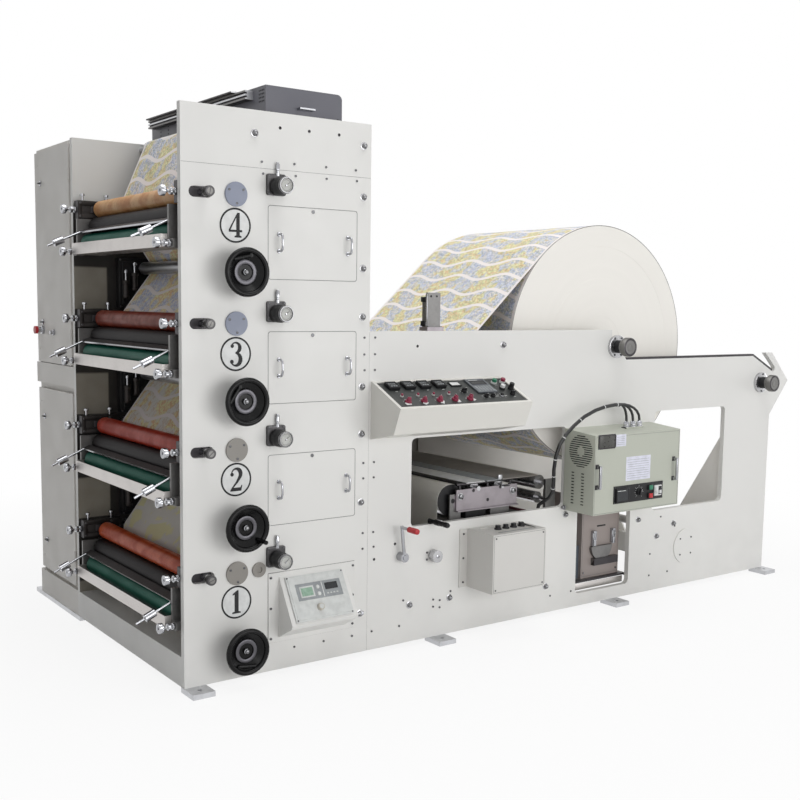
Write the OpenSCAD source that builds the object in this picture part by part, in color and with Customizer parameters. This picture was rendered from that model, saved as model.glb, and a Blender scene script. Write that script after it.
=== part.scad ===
// Four-colour stack flexographic printing press with a rewind stand.
// Working frame: X along the press from the tower's front edge, Y from the
// outer face of the operator's side plate towards the drive side, Z up.
// Every module moves its pieces from that frame to the part's origin, which
// is the middle of the press's outline on the floor.

/* [Side plates] */
// Thickness of each side plate
plate_t = 28; // [22:1:36]
// Clear width between the two side plates
inner_w = 1212; // [1180:1:1300]
// Length of the printing tower along the press
tower_l = 910; // [900:1:960]
// Height of the tower's top edge above the floor
tower_h = 2400; // [2390:1:2500]
// Height of the frame's deck edge behind the tower
deck_h = 1494; // [1480:1:1540]
// Length of the press from the tower's front edge to the hook of the arm
press_l = 4049; // [4020:1:4100]
// Drop from the deck edge to the rail that the roll shaft is rolled along
rail_drop = 149; // [144:1:156]
// Thickness of the steel rail strips
rail_t = 12; // [6:1:16]
// Thickness of the pads under the side plates
foot_t = 22; // [14:1:30]
// How far the pads stand out past the plates
foot_reach = 90; // [70:1:110]
// Radius of the floor bolt holes
foot_bolt_r = 9; // [6:0.5:12]

/* [Openings in the frame plates] */
// Left edge of the long window
window_x = 1155; // [1120:1:1180]
// Length of the long window
window_l = 1000; // [900:1:1010]
// Sill height of the long window
window_z = 575; // [560:1:600]
// Height of the long window
window_h = 420; // [380:1:425]
// Left edge of the service opening
service_x = 2253; // [2240:1:2270]
// Length of the service opening
service_l = 410; // [360:1:430]
// Sill height of the service opening
service_z = 90; // [80:1:110]
// Height of the service opening
service_h = 530; // [480:1:540]
// Left edge of the opening under the arm
arm_x = 2837; // [2820:1:2860]
// Width of the end post beside the opening under the arm, at its foot
post_w = 423; // [400:1:470]
// Sill height of the opening under the arm
arm_z = 480; // [460:1:500]
// Height of the opening under the arm
arm_h = 562; // [520:1:570]
// Corner radius of the openings
corner_r = 25; // [10:1:40]

/* [Printing stations] */
// Axis height of the first plate cylinder
station_z = 479; // [475:1:490]
// Height from one station to the next
station_pitch = 525; // [520:1:528]
// Axis of the plate cylinders, back from the tower's front edge
plate_cyl_x = 100; // [92:1:104]
// Radius of the plate cylinders
plate_cyl_r = 40.5; // [36:0.5:42]
// Axis of the impression cylinders, back from the tower's front edge
impression_x = 243; // [240:1:250]
// Radius of the impression cylinders
impression_r = 54; // [50:1:60]
// Radius of the anilox rollers
anilox_r = 45; // [40:0.5:46]
// Radius of the fountain rollers
fountain_r = 45; // [40:0.5:46]
// Lean of the line from plate cylinder down to anilox roller, in degrees
anilox_lean = 13.4; // [10:0.2:16]
// Lean of the line from anilox roller down to fountain roller, in degrees
fountain_lean = 26.6; // [22:0.2:30]
// Distance from the roller faces to the drive side plate
drive_gap = 120; // [112:1:130]
// Distance from the operator's side plate to the roller faces
roller_gap = 92; // [86:1:100]
// Radius of the plate cylinder shafts
journal_r = 15; // [12:0.5:17]
// Radius of the anilox and fountain roller shafts
ink_journal_r = 12; // [9:0.5:14]
// Radius of the impression cylinder shafts
impression_journal_r = 25; // [20:0.5:28]

/* [Ink trays and blades] */
// Depth of an ink tray
tray_h = 53; // [46:1:58]
// Tray wall thickness
tray_wall = 2; // [1.5:0.5:3]
// Front face of the trays ahead of the tower's front edge
tray_reach = 40; // [34:1:44]
// Tilt of the doctor blades and their weight rods, in degrees
blade_tilt = 24; // [20:1:28]
// Length of the weight rods
rod_l = 190; // [170:1:210]
// Radius of the weight rods
rod_r = 5; // [4:0.5:6]
// Radius of the sliding weights
weight_r = 17; // [14:0.5:19]
// Length of the sliding weights
weight_l = 48; // [40:1:55]

/* [Handwheels and gauges] */
// Outer radius of the handwheels
wheel_r = 100; // [90:1:104]
// How far the handwheels stand off the side plate
wheel_reach = 100; // [90:1:120]
// Drop from a station's axis to its handwheel
wheel_drop = 316; // [312:1:318]
// Radius of the handwheel shafts
wheel_shaft_r = 12; // [10:0.5:14]
// Radius of the impression bearing covers
cover_r = 50; // [42:1:54]
// Side of the register gauge base plates
gauge_side = 88; // [80:1:94]
// Reach of the register gauges off the side plate
gauge_reach = 100; // [85:1:110]

/* [Web] */
// Thickness of the paper web
web_t = 1.2; // [1:0.1:2]
// Radius of the guide rollers
guide_r = 30; // [26:1:32]
// Radius of the wound paper roll
roll_r = 645; // [600:5:650]
// Axis of the wound roll, back from the tower's front edge
roll_x = 2504; // [2495:1:2512]
// Height of the wound roll's axis above the rail
roll_rise = 60; // [56:1:63]
// Radius of the roll shaft
roll_shaft_r = 30; // [24:1:34]

/* [Cabinet] */
// Depth of the electrical cabinet
cabinet_d = 577; // [500:1:620]
// Thickness of the cabinet doors
door_t = 20; // [14:1:26]
// Opening clearance round the cabinet doors
door_gap = 3; // [2:0.5:5]

/* [Dryer hood] */
// Length of the hood along the press
hood_l = 378; // [340:1:400]
// Height of the hood's top above the tower's top edge
hood_rise = 120; // [100:1:140]
// Wall thickness of the hood
hood_wall = 3; // [2:0.5:5]

/* [Control units] */
// Length of the control console
console_l = 779; // [740:1:800]
// Depth of the control console
console_d = 230; // [210:1:240]
// Length of the corona treater box
treater_l = 647; // [600:1:660]
// Depth of the corona treater box
treater_d = 215; // [190:1:228]
// Height of the corona treater box
treater_h = 427; // [400:1:440]
// Length of the lower control box
box_l = 340; // [300:1:360]
// Depth of the lower control box
box_d = 200; // [170:1:220]
// Height of the lower control box
box_h = 288; // [260:1:300]

/* [Hidden] */
$fn = 48;

// Seat gap between a curved piece and what carries it
seat = 0.3;
// Radial clearance of a shaft in its bearing
running = 0.05;
// Distance left between a rolling pair
nip = 0.3;

stations = 4;
press_w = inner_w + 2 * plate_t;
far_face = press_w - plate_t;
roller_y0 = plate_t + roller_gap;
roller_y1 = far_face - drive_gap;
rail_h = deck_h - rail_drop;
roll_z = rail_h + roll_rise;

// Floor pads along each side: x of their bolt holes
foot_l = 100;
foot_x = [foot_l / 2 - 2, tower_l + 410, service_x + 277, press_l - 213];
foot_bolt_y = -foot_reach / 2;

// Frame plate outline
base_end = press_l - 176;
waist = [press_l - 171, rail_h - 373];
tip_z = rail_h - 168;
hook_top = rail_h + 5;
hook_w = 66;
hook_x = press_l - 235;
rail_bend = press_l - 357;
notch = [press_l - 157, rail_h - 91];
notch_r = 20;
arm_l = base_end - post_w - arm_x;
cradle_lip = roll_x + 86;
deck_end = roll_x - roll_shaft_r - seat;
cradle_drop = 12;

// Round ties between the side plates, x and z of each
tie_x = tower_l - 40;
tie_r = 22;
tower_ties = concat([[tie_x, tower_h - 96]], [for (n = [1:3]) [tie_x, station(n) + 243]]);
frame_ties = [
    [tower_l + 90, deck_h - 74], [service_x + service_l + 97, arm_z - 60],
    [press_l - 489, rail_h - 185], [window_x + 845, window_z - 275],
];

// Sill across the floor and the gussets that brace the posts to it
sill_h = 128;
gusset_x = press_l - 549;
gusset_z = [arm_z + 65, arm_z + 425];
gusset_slope = 1.65;

// Electrical cabinet
cabinet_l = tower_l;
cabinet_y0 = press_w;
cabinet_y1 = press_w + cabinet_d;
cabinet_foot = 150;
cabinet_split = [tower_h - 1250, tower_h - 1110];
cabinet_door_top = tower_h - 20;
door_edge = 26;
hinge_y = cabinet_y0 + door_edge;
hinge_r = 7;
door_w = cabinet_d - 2 * door_edge;

// Ink train, as offsets from a station's axis
anilox_d = plate_cyl_r + anilox_r + nip;
anilox = [plate_cyl_x - anilox_d * sin(anilox_lean), -anilox_d * cos(anilox_lean)];
fountain_d = anilox_r + fountain_r + nip;
fountain = anilox - fountain_d * [sin(fountain_lean), cos(fountain_lean)];
tray_lip = fountain[1] - 2;
tray_y0 = roller_y0 - 20;
tray_y1 = roller_y1 + 30;
tray_back = fountain[0] + fountain_r + 12;
hanger_t = 14;
lug_w = 36;
lug_z = -40;
blade = [anilox[0] - anilox_r - 22.3, anilox[1] - 22];
blade_t = 8;
blade_w = 34;
rod_y = [roller_y0 - 8, roller_y1 + 16];

// Handwheels
wheel_rim_r = 11;
wheel_hub_r = 24;

// Register gauges
gauge_x = 437;
gauge_up = 50;
gauge_r = 38;

// Access doors, as offsets from a station's axis
door_x0 = 393;
door_x1 = 838;
door_up = -34;
door_down = -340;
pocket_d = 4;
door_play = 1.5;

// Web path
guide_x = 325;
guide_up = 250;
web_gap = seat;
top_guide = [355, tower_h - 30];
turn_guide = [740, tower_h - 60];
drop_guide = [turn_guide[0] + 2 * guide_r, deck_h - 314];
deck_guide = [tower_l + 490, deck_h - 184];

// Rollers below the window, x, z and radius of each: the one the web turns
// down on, the two in the bracket plates, and the three at the infeed end
turn_roller = [window_x + 328, window_z + 77, 78];
bracket_rollers = [for (x = [485, 645]) [window_x + x, window_z + 127, 28]];
feed_rollers = [
    [window_x + 930, window_z + 117, 38], [window_x + 920, window_z + 37, 30],
    [window_x + 826, window_z - 70, 50],
];
infeed_guide = [turn_roller[0] - turn_roller[2] - guide_r - 2 * web_gap - web_t, window_z - 285];

// Hood
hood_x = 415;
hood_y0 = 60;
hood_z0 = tower_h - 13;
hood_z1 = tower_h + hood_rise;
hood_slot_z = tower_h + 22;
hood_corner_r = 24;

// Console section: y and z of its corners
console_x = tower_l + 11;
console_top = deck_h - 224;
console_fall = 107;
console_nose_top = console_top - console_fall;
console_nose_bottom = console_nose_top - 120;
console_bottom = console_top - 265;
console_lip = 50;
panel_tilt = atan2(console_fall, console_d);
panel_l = console_fall / sin(panel_tilt);
panel_rim = 16;
panel_sink = 5;

// Tension control box: the flange on the plate and the wedge on it
tension_flange = 4;
tension_z = [147, 455];
tension_wedge = [door_x0 + 51, door_x1 - 56];
tension_top = [-tension_flange, tension_z[1] - 18];
tension_nose = [-122, tension_z[0] + 96];
tension_tilt = atan2(tension_top[1] - tension_nose[1], tension_top[0] - tension_nose[0]);

treater_x = service_x - 106;
treater_z = service_z + 468;
treater_fall = 18;
bar_reach = 26;
bar_r = 6;
gland_y = -100;
gland_x = [treater_x + 350, treater_x + 400, treater_x + 450];
gland_r = 13;
gland_h = 30;
gland_pad = 6;
gland_seat = treater_z + treater_h - treater_fall + treater_fall * (1 + gland_y / treater_d) + gland_pad;
lead_r = 7;
trunk_r = 9.5;
// Points of the cable trunk, from where the three leads join into the window
trunk_route = [
    [2425, -112, 1104], [2390, -116, 1107], [2312, -119, 1100], [2240, -120, 1085], [2160, -120, 1056],
    [2089, -120, 1014], [2035, -118, 970], [2000, -112, 921], [1985, -102, 860], [1990, -86, 791],
    [2014, -62, 723], [2036, -32, 664], [2040, -4, 630], [2028, 26, 606], [2026, 56, 584], [2040, 80, 545],
];

box_x = 1497;
box_z = 242;

crank_at = [1095, 443];
crank_pin_r = 10;

// Middle of the press's outline on the floor
part_left = blade[0] - rod_l * cos(blade_tilt) - rod_r * sin(blade_tilt);
part_front = -max(console_d, treater_d + bar_reach + bar_r);
part_rear = cabinet_y1 + foot_reach;
origin_x = (part_left + press_l) / 2;
origin_y = (part_front + part_rear) / 2;

function station(n) = station_z + (n - 1) * station_pitch;

// ---------- helpers ----------

module press_frame() {
    translate([-origin_x, -origin_y, 0]) children();
}

// A profile drawn in X and Z, made y0 to y1 thick
module upright(y0, y1) {
    translate([0, y1, 0]) rotate([90, 0, 0]) linear_extrude(y1 - y0) children();
}

// A profile drawn in Y and Z, made x0 to x1 long
module lengthwise(x0, x1) {
    translate([x0, 0, 0]) rotate([90, 0, 90]) linear_extrude(x1 - x0) children();
}

module block(x, y, z) {
    translate([x[0], y[0], z[0]]) cube([x[1] - x[0], y[1] - y[0], z[1] - z[0]]);
}

// A round bar across the press
module cross_bar(at, y0, y1, r) {
    translate([at[0], y1, at[1]]) rotate([90, 0, 0]) cylinder(h = y1 - y0, r = r);
}

module rounded(w, h, r) {
    translate([r, 0]) square([w - 2 * r, h]);
    translate([0, r]) square([w, h - 2 * r]);
    for (x = [r, w - r], z = [r, h - r]) translate([x, z]) circle(r = r);
}

module drive_side() {
    translate([0, press_w, 0]) mirror([0, 1, 0]) children();
}

module both_sides() {
    children();
    drive_side() children();
}

// ---------- side plates ----------

module tower_outline() {
    translate([0, foot_t]) square([tower_l, tower_h - foot_t]);
}

module shaft_bores() {
    for (n = [1:stations]) {
        translate([impression_x, station(n)]) circle(r = impression_journal_r + running);
        translate([impression_x, station(n) - wheel_drop]) circle(r = wheel_shaft_r + running);
    }
}

module slide_slots() {
    slot_r = 22;
    slot_x = [57, 118];
    for (n = [1:stations]) {
        translate([slot_x[0], station(n) - slot_r]) square([slot_x[1] - slot_x[0], 2 * slot_r]);
        for (x = slot_x) translate([x, station(n)]) circle(r = slot_r);
    }
}

module operator_tower_plate() {
    color("whitesmoke") press_frame() difference() {
        upright(0, plate_t) difference() {
            tower_outline();
            shaft_bores();
            slide_slots();
        }
        for (n = [2:stations])
            upright(-1, pocket_d)
                translate([door_x0, station(n) + door_down])
                    rounded(door_x1 - door_x0, door_up - door_down, 12);
    }
}

module drive_tower_plate() {
    color("whitesmoke") press_frame() upright(far_face, press_w) difference() {
        tower_outline();
        for (n = [1:stations])
            translate([impression_x, station(n)]) circle(r = impression_journal_r + running);
    }
}

module frame_profile() {
    difference() {
        polygon([
            [tower_l, foot_t], [base_end, foot_t], waist, [press_l, tip_z],
            [hook_x + hook_w, hook_top], [hook_x, hook_top], notch + [0.7, 0.7] * notch_r,
            notch - [0, notch_r], [rail_bend, rail_h - rail_t], [cradle_lip, rail_h - rail_t],
            [roll_x + roll_shaft_r + cradle_drop, roll_z - cradle_drop],
            [deck_end, roll_z - cradle_drop], [deck_end, deck_h], [tower_l, deck_h],
        ]);
        translate(notch) circle(r = notch_r);
        translate([roll_x, roll_z]) circle(r = roll_shaft_r + seat);
        translate(crank_at) circle(r = crank_pin_r + running);
        translate([window_x, window_z]) rounded(window_l, window_h, corner_r);
        translate([service_x, service_z]) rounded(service_l, service_h, corner_r);
        translate([arm_x, arm_z]) rounded(arm_l, arm_h, corner_r);
    }
}

module operator_frame_plate() {
    color("whitesmoke") press_frame() upright(0, plate_t) frame_profile();
}

module drive_frame_plate() {
    color("whitesmoke") press_frame() upright(far_face, press_w) frame_profile();
}

module rail_strips() {
    bend = [rail_bend, rail_h - rail_t];
    down = notch - [0, notch_r] - bend;
    fall = atan2(-down[1], down[0]);
    end = bend + (norm(down) - notch_r / 2) * [cos(fall), -sin(fall)];
    color("dimgray") press_frame() both_sides() upright(0, plate_t)
        polygon([
            bend, [cradle_lip, rail_h - rail_t], [cradle_lip, rail_h],
            [rail_bend + rail_t * tan(fall / 2), rail_h],
            end + rail_t * [sin(fall), cos(fall)], end,
        ]);
}

// ---------- base, feet and cabinet ----------

module base_frame() {
    sill_w = 60;
    floor_t = 10;
    color("whitesmoke") press_frame() {
        block([0, sill_w], [plate_t, far_face], [foot_t, foot_t + sill_h]);
        block([sill_w + seat, tower_l], [plate_t, far_face], [foot_t + sill_h - floor_t, foot_t + sill_h]);
        block([gusset_x - 35, gusset_x + 35], [plate_t, far_face], [foot_t, foot_t + sill_h]);
        for (at = tower_ties) cross_bar(at, plate_t, far_face, tie_r);
        for (at = frame_ties) cross_bar(at, plate_t, far_face, tie_r);
    }
}

module foot_pad(inner) {
    difference() {
        block([-foot_l / 2, foot_l / 2], [-foot_reach, inner], [0, foot_t]);
        translate([0, foot_bolt_y, -1]) cylinder(h = foot_t + 2, r = foot_bolt_r);
    }
}

module feet() {
    color("gray") press_frame() {
        for (x = foot_x) translate([x, 0, 0]) foot_pad(plate_t);
        for (x = [foot_x[1], foot_x[2], foot_x[3]])
            drive_side() translate([x, 0, 0]) foot_pad(plate_t);
        for (x = [foot_x[0], cabinet_l - foot_l / 2])
            translate([x, cabinet_y1, 0]) mirror([0, 1, 0]) foot_pad(cabinet_d + plate_t);
    }
}

module electrical_cabinet() {
    color("gainsboro") press_frame() {
        block([0, cabinet_l], [cabinet_y0, cabinet_y1], [foot_t, cabinet_foot]);
        block([door_t, cabinet_l], [cabinet_y0, cabinet_y1], [cabinet_foot, tower_h]);
        block([0, door_t], [cabinet_y0, cabinet_y1], [cabinet_split[0] + 30, cabinet_split[1] - 4]);
    }
}

// Door leaf in the cabinet's end face, hinged beside the side plate
module cabinet_door(z0, z1) {
    lock_r = 5;
    barrel_l = 60;
    stop_r = 10;
    difference() {
        block([0, door_t - door_gap], [hinge_y, hinge_y + door_w], [z0, z1]);
        for (z = [z0 + 70, z1 - 70])
            translate([-1, hinge_y + door_w - 40, z]) rotate([0, 90, 0]) cylinder(h = 4, r = lock_r);
    }
    for (z = [z0 + 120, z1 - 120 - barrel_l]) translate([0, hinge_y, z]) {
        cylinder(h = barrel_l, r = hinge_r);
        translate([door_t - door_gap, stop_r + 2, barrel_l / 2])
            rotate([0, 90, 0]) cylinder(h = door_gap - seat, r = stop_r);
    }
}

module cabinet_door_upper() {
    color("gainsboro") press_frame() cabinet_door(cabinet_split[1], cabinet_door_top);
}

module cabinet_door_lower() {
    color("gainsboro") press_frame() cabinet_door(cabinet_foot + 20, cabinet_split[0]);
}

module emergency_stop() {
    stop_at = [1725, 1459];
    key_at = [1551, 1450];
    color("firebrick") press_frame() rotate([0, -90, 0]) {
        translate([stop_at[1], stop_at[0], 0]) {
            cylinder(h = 12, r = 22);
            translate([0, 0, 12]) cylinder(h = 20, r = 14);
            translate([0, 0, 32]) cylinder(h = 16, r = 20);
        }
        translate([key_at[1], key_at[0], 0]) {
            cylinder(h = 10, r = 15);
            translate([0, 0, 10]) cylinder(h = 14, r = 10);
        }
    }
}

// ---------- dryer hood ----------

module hood_section(inset) {
    w = hood_l - 2 * inset;
    h = hood_z1 - hood_z0 - inset;
    r = hood_corner_r - inset;
    translate([hood_x + inset, hood_z0]) {
        square([w - r, h]);
        square([w, h - r]);
        translate([w - r, h - r]) circle(r = r);
    }
}

// Bar handle on the hood's end, l long
module hood_handle(l) {
    reach = 24;
    r = 5;
    for (x = [r, l - r]) cross_bar([x, 0], hood_y0 - reach, hood_y0, r);
    translate([0, hood_y0 - reach, 0]) rotate([0, 90, 0]) cylinder(h = l, r = r);
}

module dryer_hood() {
    color("darkslategray") press_frame() {
        difference() {
            upright(hood_y0, far_face) hood_section(0);
            difference() {
                upright(hood_y0 + hood_wall, far_face - hood_wall) hood_section(hood_wall);
                block([hood_x, hood_x + hood_l], [0, press_w], [hood_z0 - 9, hood_z0]);
            }
            block([hood_x - 1, hood_x + hood_l / 2], [roller_y0 - 20, roller_y1 + 20],
                [hood_z0 - 1, hood_slot_z]);
        }
        for (y = [[plate_t, hood_y0 + 10], [far_face - 35, far_face]])
            block([hood_x + 20, hood_x + hood_l - 20], y, [hood_z0 - 10, hood_z0]);
        translate([hood_x + 150, 0, hood_slot_z + 15]) hood_handle(76);
    }
}

module hood_rail() {
    side = 38;
    color("silver") press_frame() {
        difference() {
            block([hood_x - side, hood_x], [170, far_face - 40], [hood_z1 - side - 10, hood_z1 - 10]);
            for (z = [0.3, 0.7])
                block([hood_x - side - 1, hood_x - side + 8], [169, far_face],
                    [hood_z1 - 10 - side * z - 4, hood_z1 - 10 - side * z + 4]);
        }
        block([hood_x - side - 20, hood_x - 4], [260, far_face - 60], [hood_z1 - 10, hood_z1 - 4]);
    }
}

// ---------- printing stations ----------

module ink_tray() {
    difference() {
        block([-tray_reach, tray_back], [tray_y0, tray_y1], [tray_lip - tray_h, tray_lip]);
        block([-tray_reach + tray_wall, tray_back - tray_wall],
            [tray_y0 + tray_wall, tray_y1 - tray_wall], [tray_lip - tray_h + tray_wall, tray_lip + 1]);
        block([fountain[0] - ink_journal_r - 4, fountain[0] + ink_journal_r + 4],
            [tray_y0 - 1, tray_y1 + 1], [fountain[1] - ink_journal_r - 4, tray_lip + 1]);
    }
}

module ink_trays() {
    color("silver") press_frame() for (n = [1:stations]) translate([0, 0, station(n)]) ink_tray();
}

// Blade holder across the tray with a weight rod at each end
module doctor_blade() {
    translate([blade[0], 0, blade[1]]) rotate([0, -blade_tilt, 0]) {
        block([-blade_w / 2, blade_w / 2], [rod_y[0] - 8, rod_y[1] + 8], [-blade_t / 2, blade_t / 2]);
        block([blade_w / 2, blade_w / 2 + 8], [roller_y0 + 4, roller_y1 - 4], [-blade_t / 2, -blade_t / 2 + 2]);
    }
}

module weight_rod(y, weight_at) {
    translate([blade[0], y, blade[1]]) rotate([0, -90 - blade_tilt, 0]) {
        translate([0, 0, blade_w / 2]) cylinder(h = rod_l - blade_w / 2, r = rod_r);
        translate([0, 0, weight_at]) cylinder(h = weight_l, r = weight_r);
    }
}

module doctor_blades() {
    color("silver") press_frame() for (n = [1:stations]) translate([0, 0, station(n)]) {
        doctor_blade();
        weight_rod(rod_y[0], 100);
        weight_rod(rod_y[1], 110);
    }
}

// Slide block for the plate cylinder and the hanger plate for the ink rollers
module roller_bracket(depth) {
    difference() {
        block([8, 205], [plate_t, plate_t + 48], [-44, 44]);
        cross_bar([plate_cyl_x, 0], plate_t - 1, plate_t + 49, journal_r + running);
    }
    for (x = [40, 160])
        translate([x, plate_t + 24, 44]) {
            cylinder(h = 24, r = 5);
            translate([0, 0, 24]) cylinder(h = 10, r = 12);
        }
    difference() {
        block([-12, 130], [plate_t + depth - hanger_t, plate_t + depth], [tray_lip - tray_h, -48]);
        cross_bar(anilox, plate_t, plate_t + depth + 1, ink_journal_r + running);
        cross_bar(fountain, plate_t, plate_t + depth + 1, ink_journal_r + running);
    }
    for (z = [tray_lip - tray_h + 22, -66])
        cross_bar([114, z], plate_t, plate_t + depth - hanger_t, 14);
    block([-12, 24], [plate_t + depth - hanger_t - lug_w, plate_t + depth - hanger_t],
        [fountain[1] + lug_z - 18, fountain[1] + lug_z + 18]);
}

module roller_brackets() {
    color("lightgray") press_frame() for (n = [1:stations]) translate([0, 0, station(n)]) {
        roller_bracket(tray_y0 - plate_t);
        drive_side() roller_bracket(far_face - tray_y1);
    }
}

// Knurled screw knobs that set the slides, facing the front of the tower
module adjuster_knob(reach, r) {
    rotate([0, -90, 0]) {
        cylinder(h = reach, r = 7);
        translate([0, 0, reach * 0.35]) cylinder(h = 14, r = 15);
        translate([0, 0, reach]) cylinder(h = 22, r = r);
    }
}

module adjuster_knobs() {
    color("silver") press_frame() for (n = [1:stations]) translate([0, 0, station(n)]) {
        translate([8, plate_t + 24, 0]) adjuster_knob(50, 22);
        translate([8, press_w - plate_t - 24, 0]) adjuster_knob(50, 22);
        for (y = [tray_y0 - hanger_t - lug_w / 2, tray_y1 + hanger_t + lug_w / 2])
            translate([-12, y, fountain[1] + lug_z]) adjuster_knob(60, 22);
    }
}

module plate_cylinder(n) {
    knob_reach = 60;
    color("sienna") press_frame() translate([0, 0, station(n)]) {
        cross_bar([plate_cyl_x, 0], roller_y0, roller_y1, plate_cyl_r);
        cross_bar([plate_cyl_x, 0], -knob_reach + 24, roller_y0, journal_r);
        cross_bar([plate_cyl_x, 0], roller_y1, far_face - 2, journal_r);
        cross_bar([plate_cyl_x, 0], -knob_reach, -knob_reach + 26, 20);
    }
}

module plate_cylinder_1() { plate_cylinder(1); }
module plate_cylinder_2() { plate_cylinder(2); }
module plate_cylinder_3() { plate_cylinder(3); }
module plate_cylinder_4() { plate_cylinder(4); }

module ink_roller(n, at, r) {
    press_frame() translate([0, 0, station(n)]) {
        cross_bar(at, roller_y0, roller_y1, r);
        cross_bar(at, tray_y0 - 14, roller_y0, ink_journal_r);
        cross_bar(at, roller_y1, tray_y1 + 14, ink_journal_r);
    }
}

module anilox_roller(n) { color("dimgray") ink_roller(n, anilox, anilox_r); }
module anilox_roller_1() { anilox_roller(1); }
module anilox_roller_2() { anilox_roller(2); }
module anilox_roller_3() { anilox_roller(3); }
module anilox_roller_4() { anilox_roller(4); }

module fountain_roller(n) { color("darkgreen") ink_roller(n, fountain, fountain_r); }
module fountain_roller_1() { fountain_roller(1); }
module fountain_roller_2() { fountain_roller(2); }
module fountain_roller_3() { fountain_roller(3); }
module fountain_roller_4() { fountain_roller(4); }

module impression_cylinders() {
    color("gray") press_frame() for (n = [1:stations]) translate([0, 0, station(n)]) {
        cross_bar([impression_x, 0], roller_y0, roller_y1, impression_r);
        cross_bar([impression_x, 0], 0, press_w, impression_journal_r);
    }
}

// ---------- web ----------

// Each roller that the web turns on: centre, radius, and 1 where the roller
// lies on the right of the web as it travels, -1 where it lies on the left
function web_rollers() = concat(
    [[[feed_rollers[0][0], feed_rollers[0][1]], feed_rollers[0][2], -1],
        [[turn_roller[0], turn_roller[1]], turn_roller[2], -1],
        [infeed_guide, guide_r, 1], [[guide_x, station(1) - guide_up - 25], guide_r, 1]],
    [for (n = [1:stations]) each [
        [[impression_x, station(n)], impression_r, 1],
        n < stations ? [[guide_x, station(n) + guide_up], guide_r, -1] : [top_guide, guide_r, 1]]],
    [[turn_guide, guide_r, 1], [drop_guide, guide_r, -1], [deck_guide, guide_r, -1],
        [[roll_x, roll_z], roll_r, 1]]);

// Travel direction of the straight run between two of those rollers
function run_dir(a, b) =
    let (d = b[0] - a[0], mid = web_gap + web_t / 2)
    atan2(d[1], d[0]) - asin((a[2] * (a[1] + mid) - b[2] * (b[1] + mid)) / norm(d));

function turn(from, to) = let (d = to - from) d > 180 ? d - 360 : d < -180 ? d + 360 : d;

// Points of one side of the web: side 1 is the left one, as it travels
function web_side(side) =
    let (w = web_rollers(), last = len(w) - 1)
    [for (i = [0:last])
        let (into = run_dir(w[max(i - 1, 0)], w[max(i, 1)]),
            out = run_dir(w[min(i, last - 1)], w[min(i + 1, last)]),
            sweep = turn(into, out),
            steps = max(1, ceil(abs(sweep) / 6)),
            r = w[i][1] + web_gap + (w[i][2] == side ? web_t : 0))
        for (k = [0:i == 0 || i == last ? 0 : steps])
            let (dir = (i == 0 ? out : into) + sweep * k / steps)
            w[i][0] + w[i][2] * r * [-sin(dir), cos(dir)]];

module paper_web() {
    left = web_side(1);
    right = web_side(-1);
    color("ivory") press_frame() upright(roller_y0, roller_y1)
        polygon(concat(left, [for (i = [len(right) - 1:-1:0]) right[i]]));
}

module guide_rollers() {
    color("silver") press_frame()
        for (w = web_rollers()) if (w[1] == guide_r) {
            cross_bar(w[0], roller_y0 - 20, roller_y1 + 20, guide_r);
            cross_bar(w[0], plate_t, far_face, ink_journal_r);
        }
}

module paper_roll() {
    color("ivory") press_frame() difference() {
        cross_bar([roll_x, roll_z], roller_y0, roller_y1, roll_r);
        cross_bar([roll_x, roll_z], roller_y0 - 1, roller_y1 + 1, roll_shaft_r + 8);
    }
}

module roll_shaft() {
    color("silver") press_frame() {
        cross_bar([roll_x, roll_z], 2, press_w, roll_shaft_r);
        cross_bar([roll_x, roll_z], roller_y0 - 25, roller_y1 + 25, roll_shaft_r + 8);
    }
}

// ---------- on the operator's plate ----------

module handwheel(n, crank_turn, crank_out) {
    dish = wheel_r - wheel_rim_r;
    ring = [34, 50];
    ring_z = wheel_reach - 14;
    crank_l = 78;
    crank_r = 8;
    color([0.1, 0.1, 0.1]) press_frame()
        translate([impression_x, 0, station(n) - wheel_drop]) rotate([90, 0, 0]) {
            translate([0, 0, wheel_reach]) rotate_extrude() translate([dish, 0]) circle(r = wheel_rim_r);
            rotate_extrude() polygon([
                [0, -plate_t], [wheel_shaft_r, -plate_t], [wheel_shaft_r, 2], [wheel_hub_r, 2],
                [wheel_hub_r, ring_z - 18], [ring[1], ring_z - 14], [dish, wheel_reach - 6],
                [dish, wheel_reach + 5], [ring[1] + 3, ring_z - 4], [ring[1], ring_z],
                [ring[0], ring_z], [ring[0] - 3, ring_z - 5], [14, ring_z - 5], [12, ring_z + 4],
                [6, ring_z + 9], [0, ring_z + 10],
            ]);
            rotate([0, 0, crank_turn]) translate([dish - 19, 0, ring_z - 6]) {
                cylinder(h = 22, r = crank_r);
                translate([0, 0, 14]) rotate(crank_out ? [0, 0, 0] : [-90, 0, 28])
                    cylinder(h = crank_l, r = crank_r + 1);
            }
        }
}

module handwheel_1() { handwheel(1, -125, false); }
module handwheel_2() { handwheel(2, -48, true); }
module handwheel_3() { handwheel(3, 118, false); }
module handwheel_4() { handwheel(4, 75, false); }

module cover_discs() {
    plate_at = [service_x + 882, service_z + 155];
    ring_at = [door_x0 - 46, station(1) + 1];
    color("darkgray") press_frame() {
        for (n = [1:stations]) cross_bar([impression_x, station(n)], -8, 0, cover_r);
        cross_bar(plate_at, -6, 0, 100);
        difference() {
            cross_bar(ring_at, -8, 0, 32);
            cross_bar(ring_at, -9, -3, 14);
        }
    }
}

module access_doors() {
    color("whitesmoke") press_frame() for (n = [2:stations])
        upright(0, pocket_d) translate([door_x0 + door_play, station(n) + door_down + door_play])
            rounded(door_x1 - door_x0 - 2 * door_play, door_up - door_down - 2 * door_play, 10);
}

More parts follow.
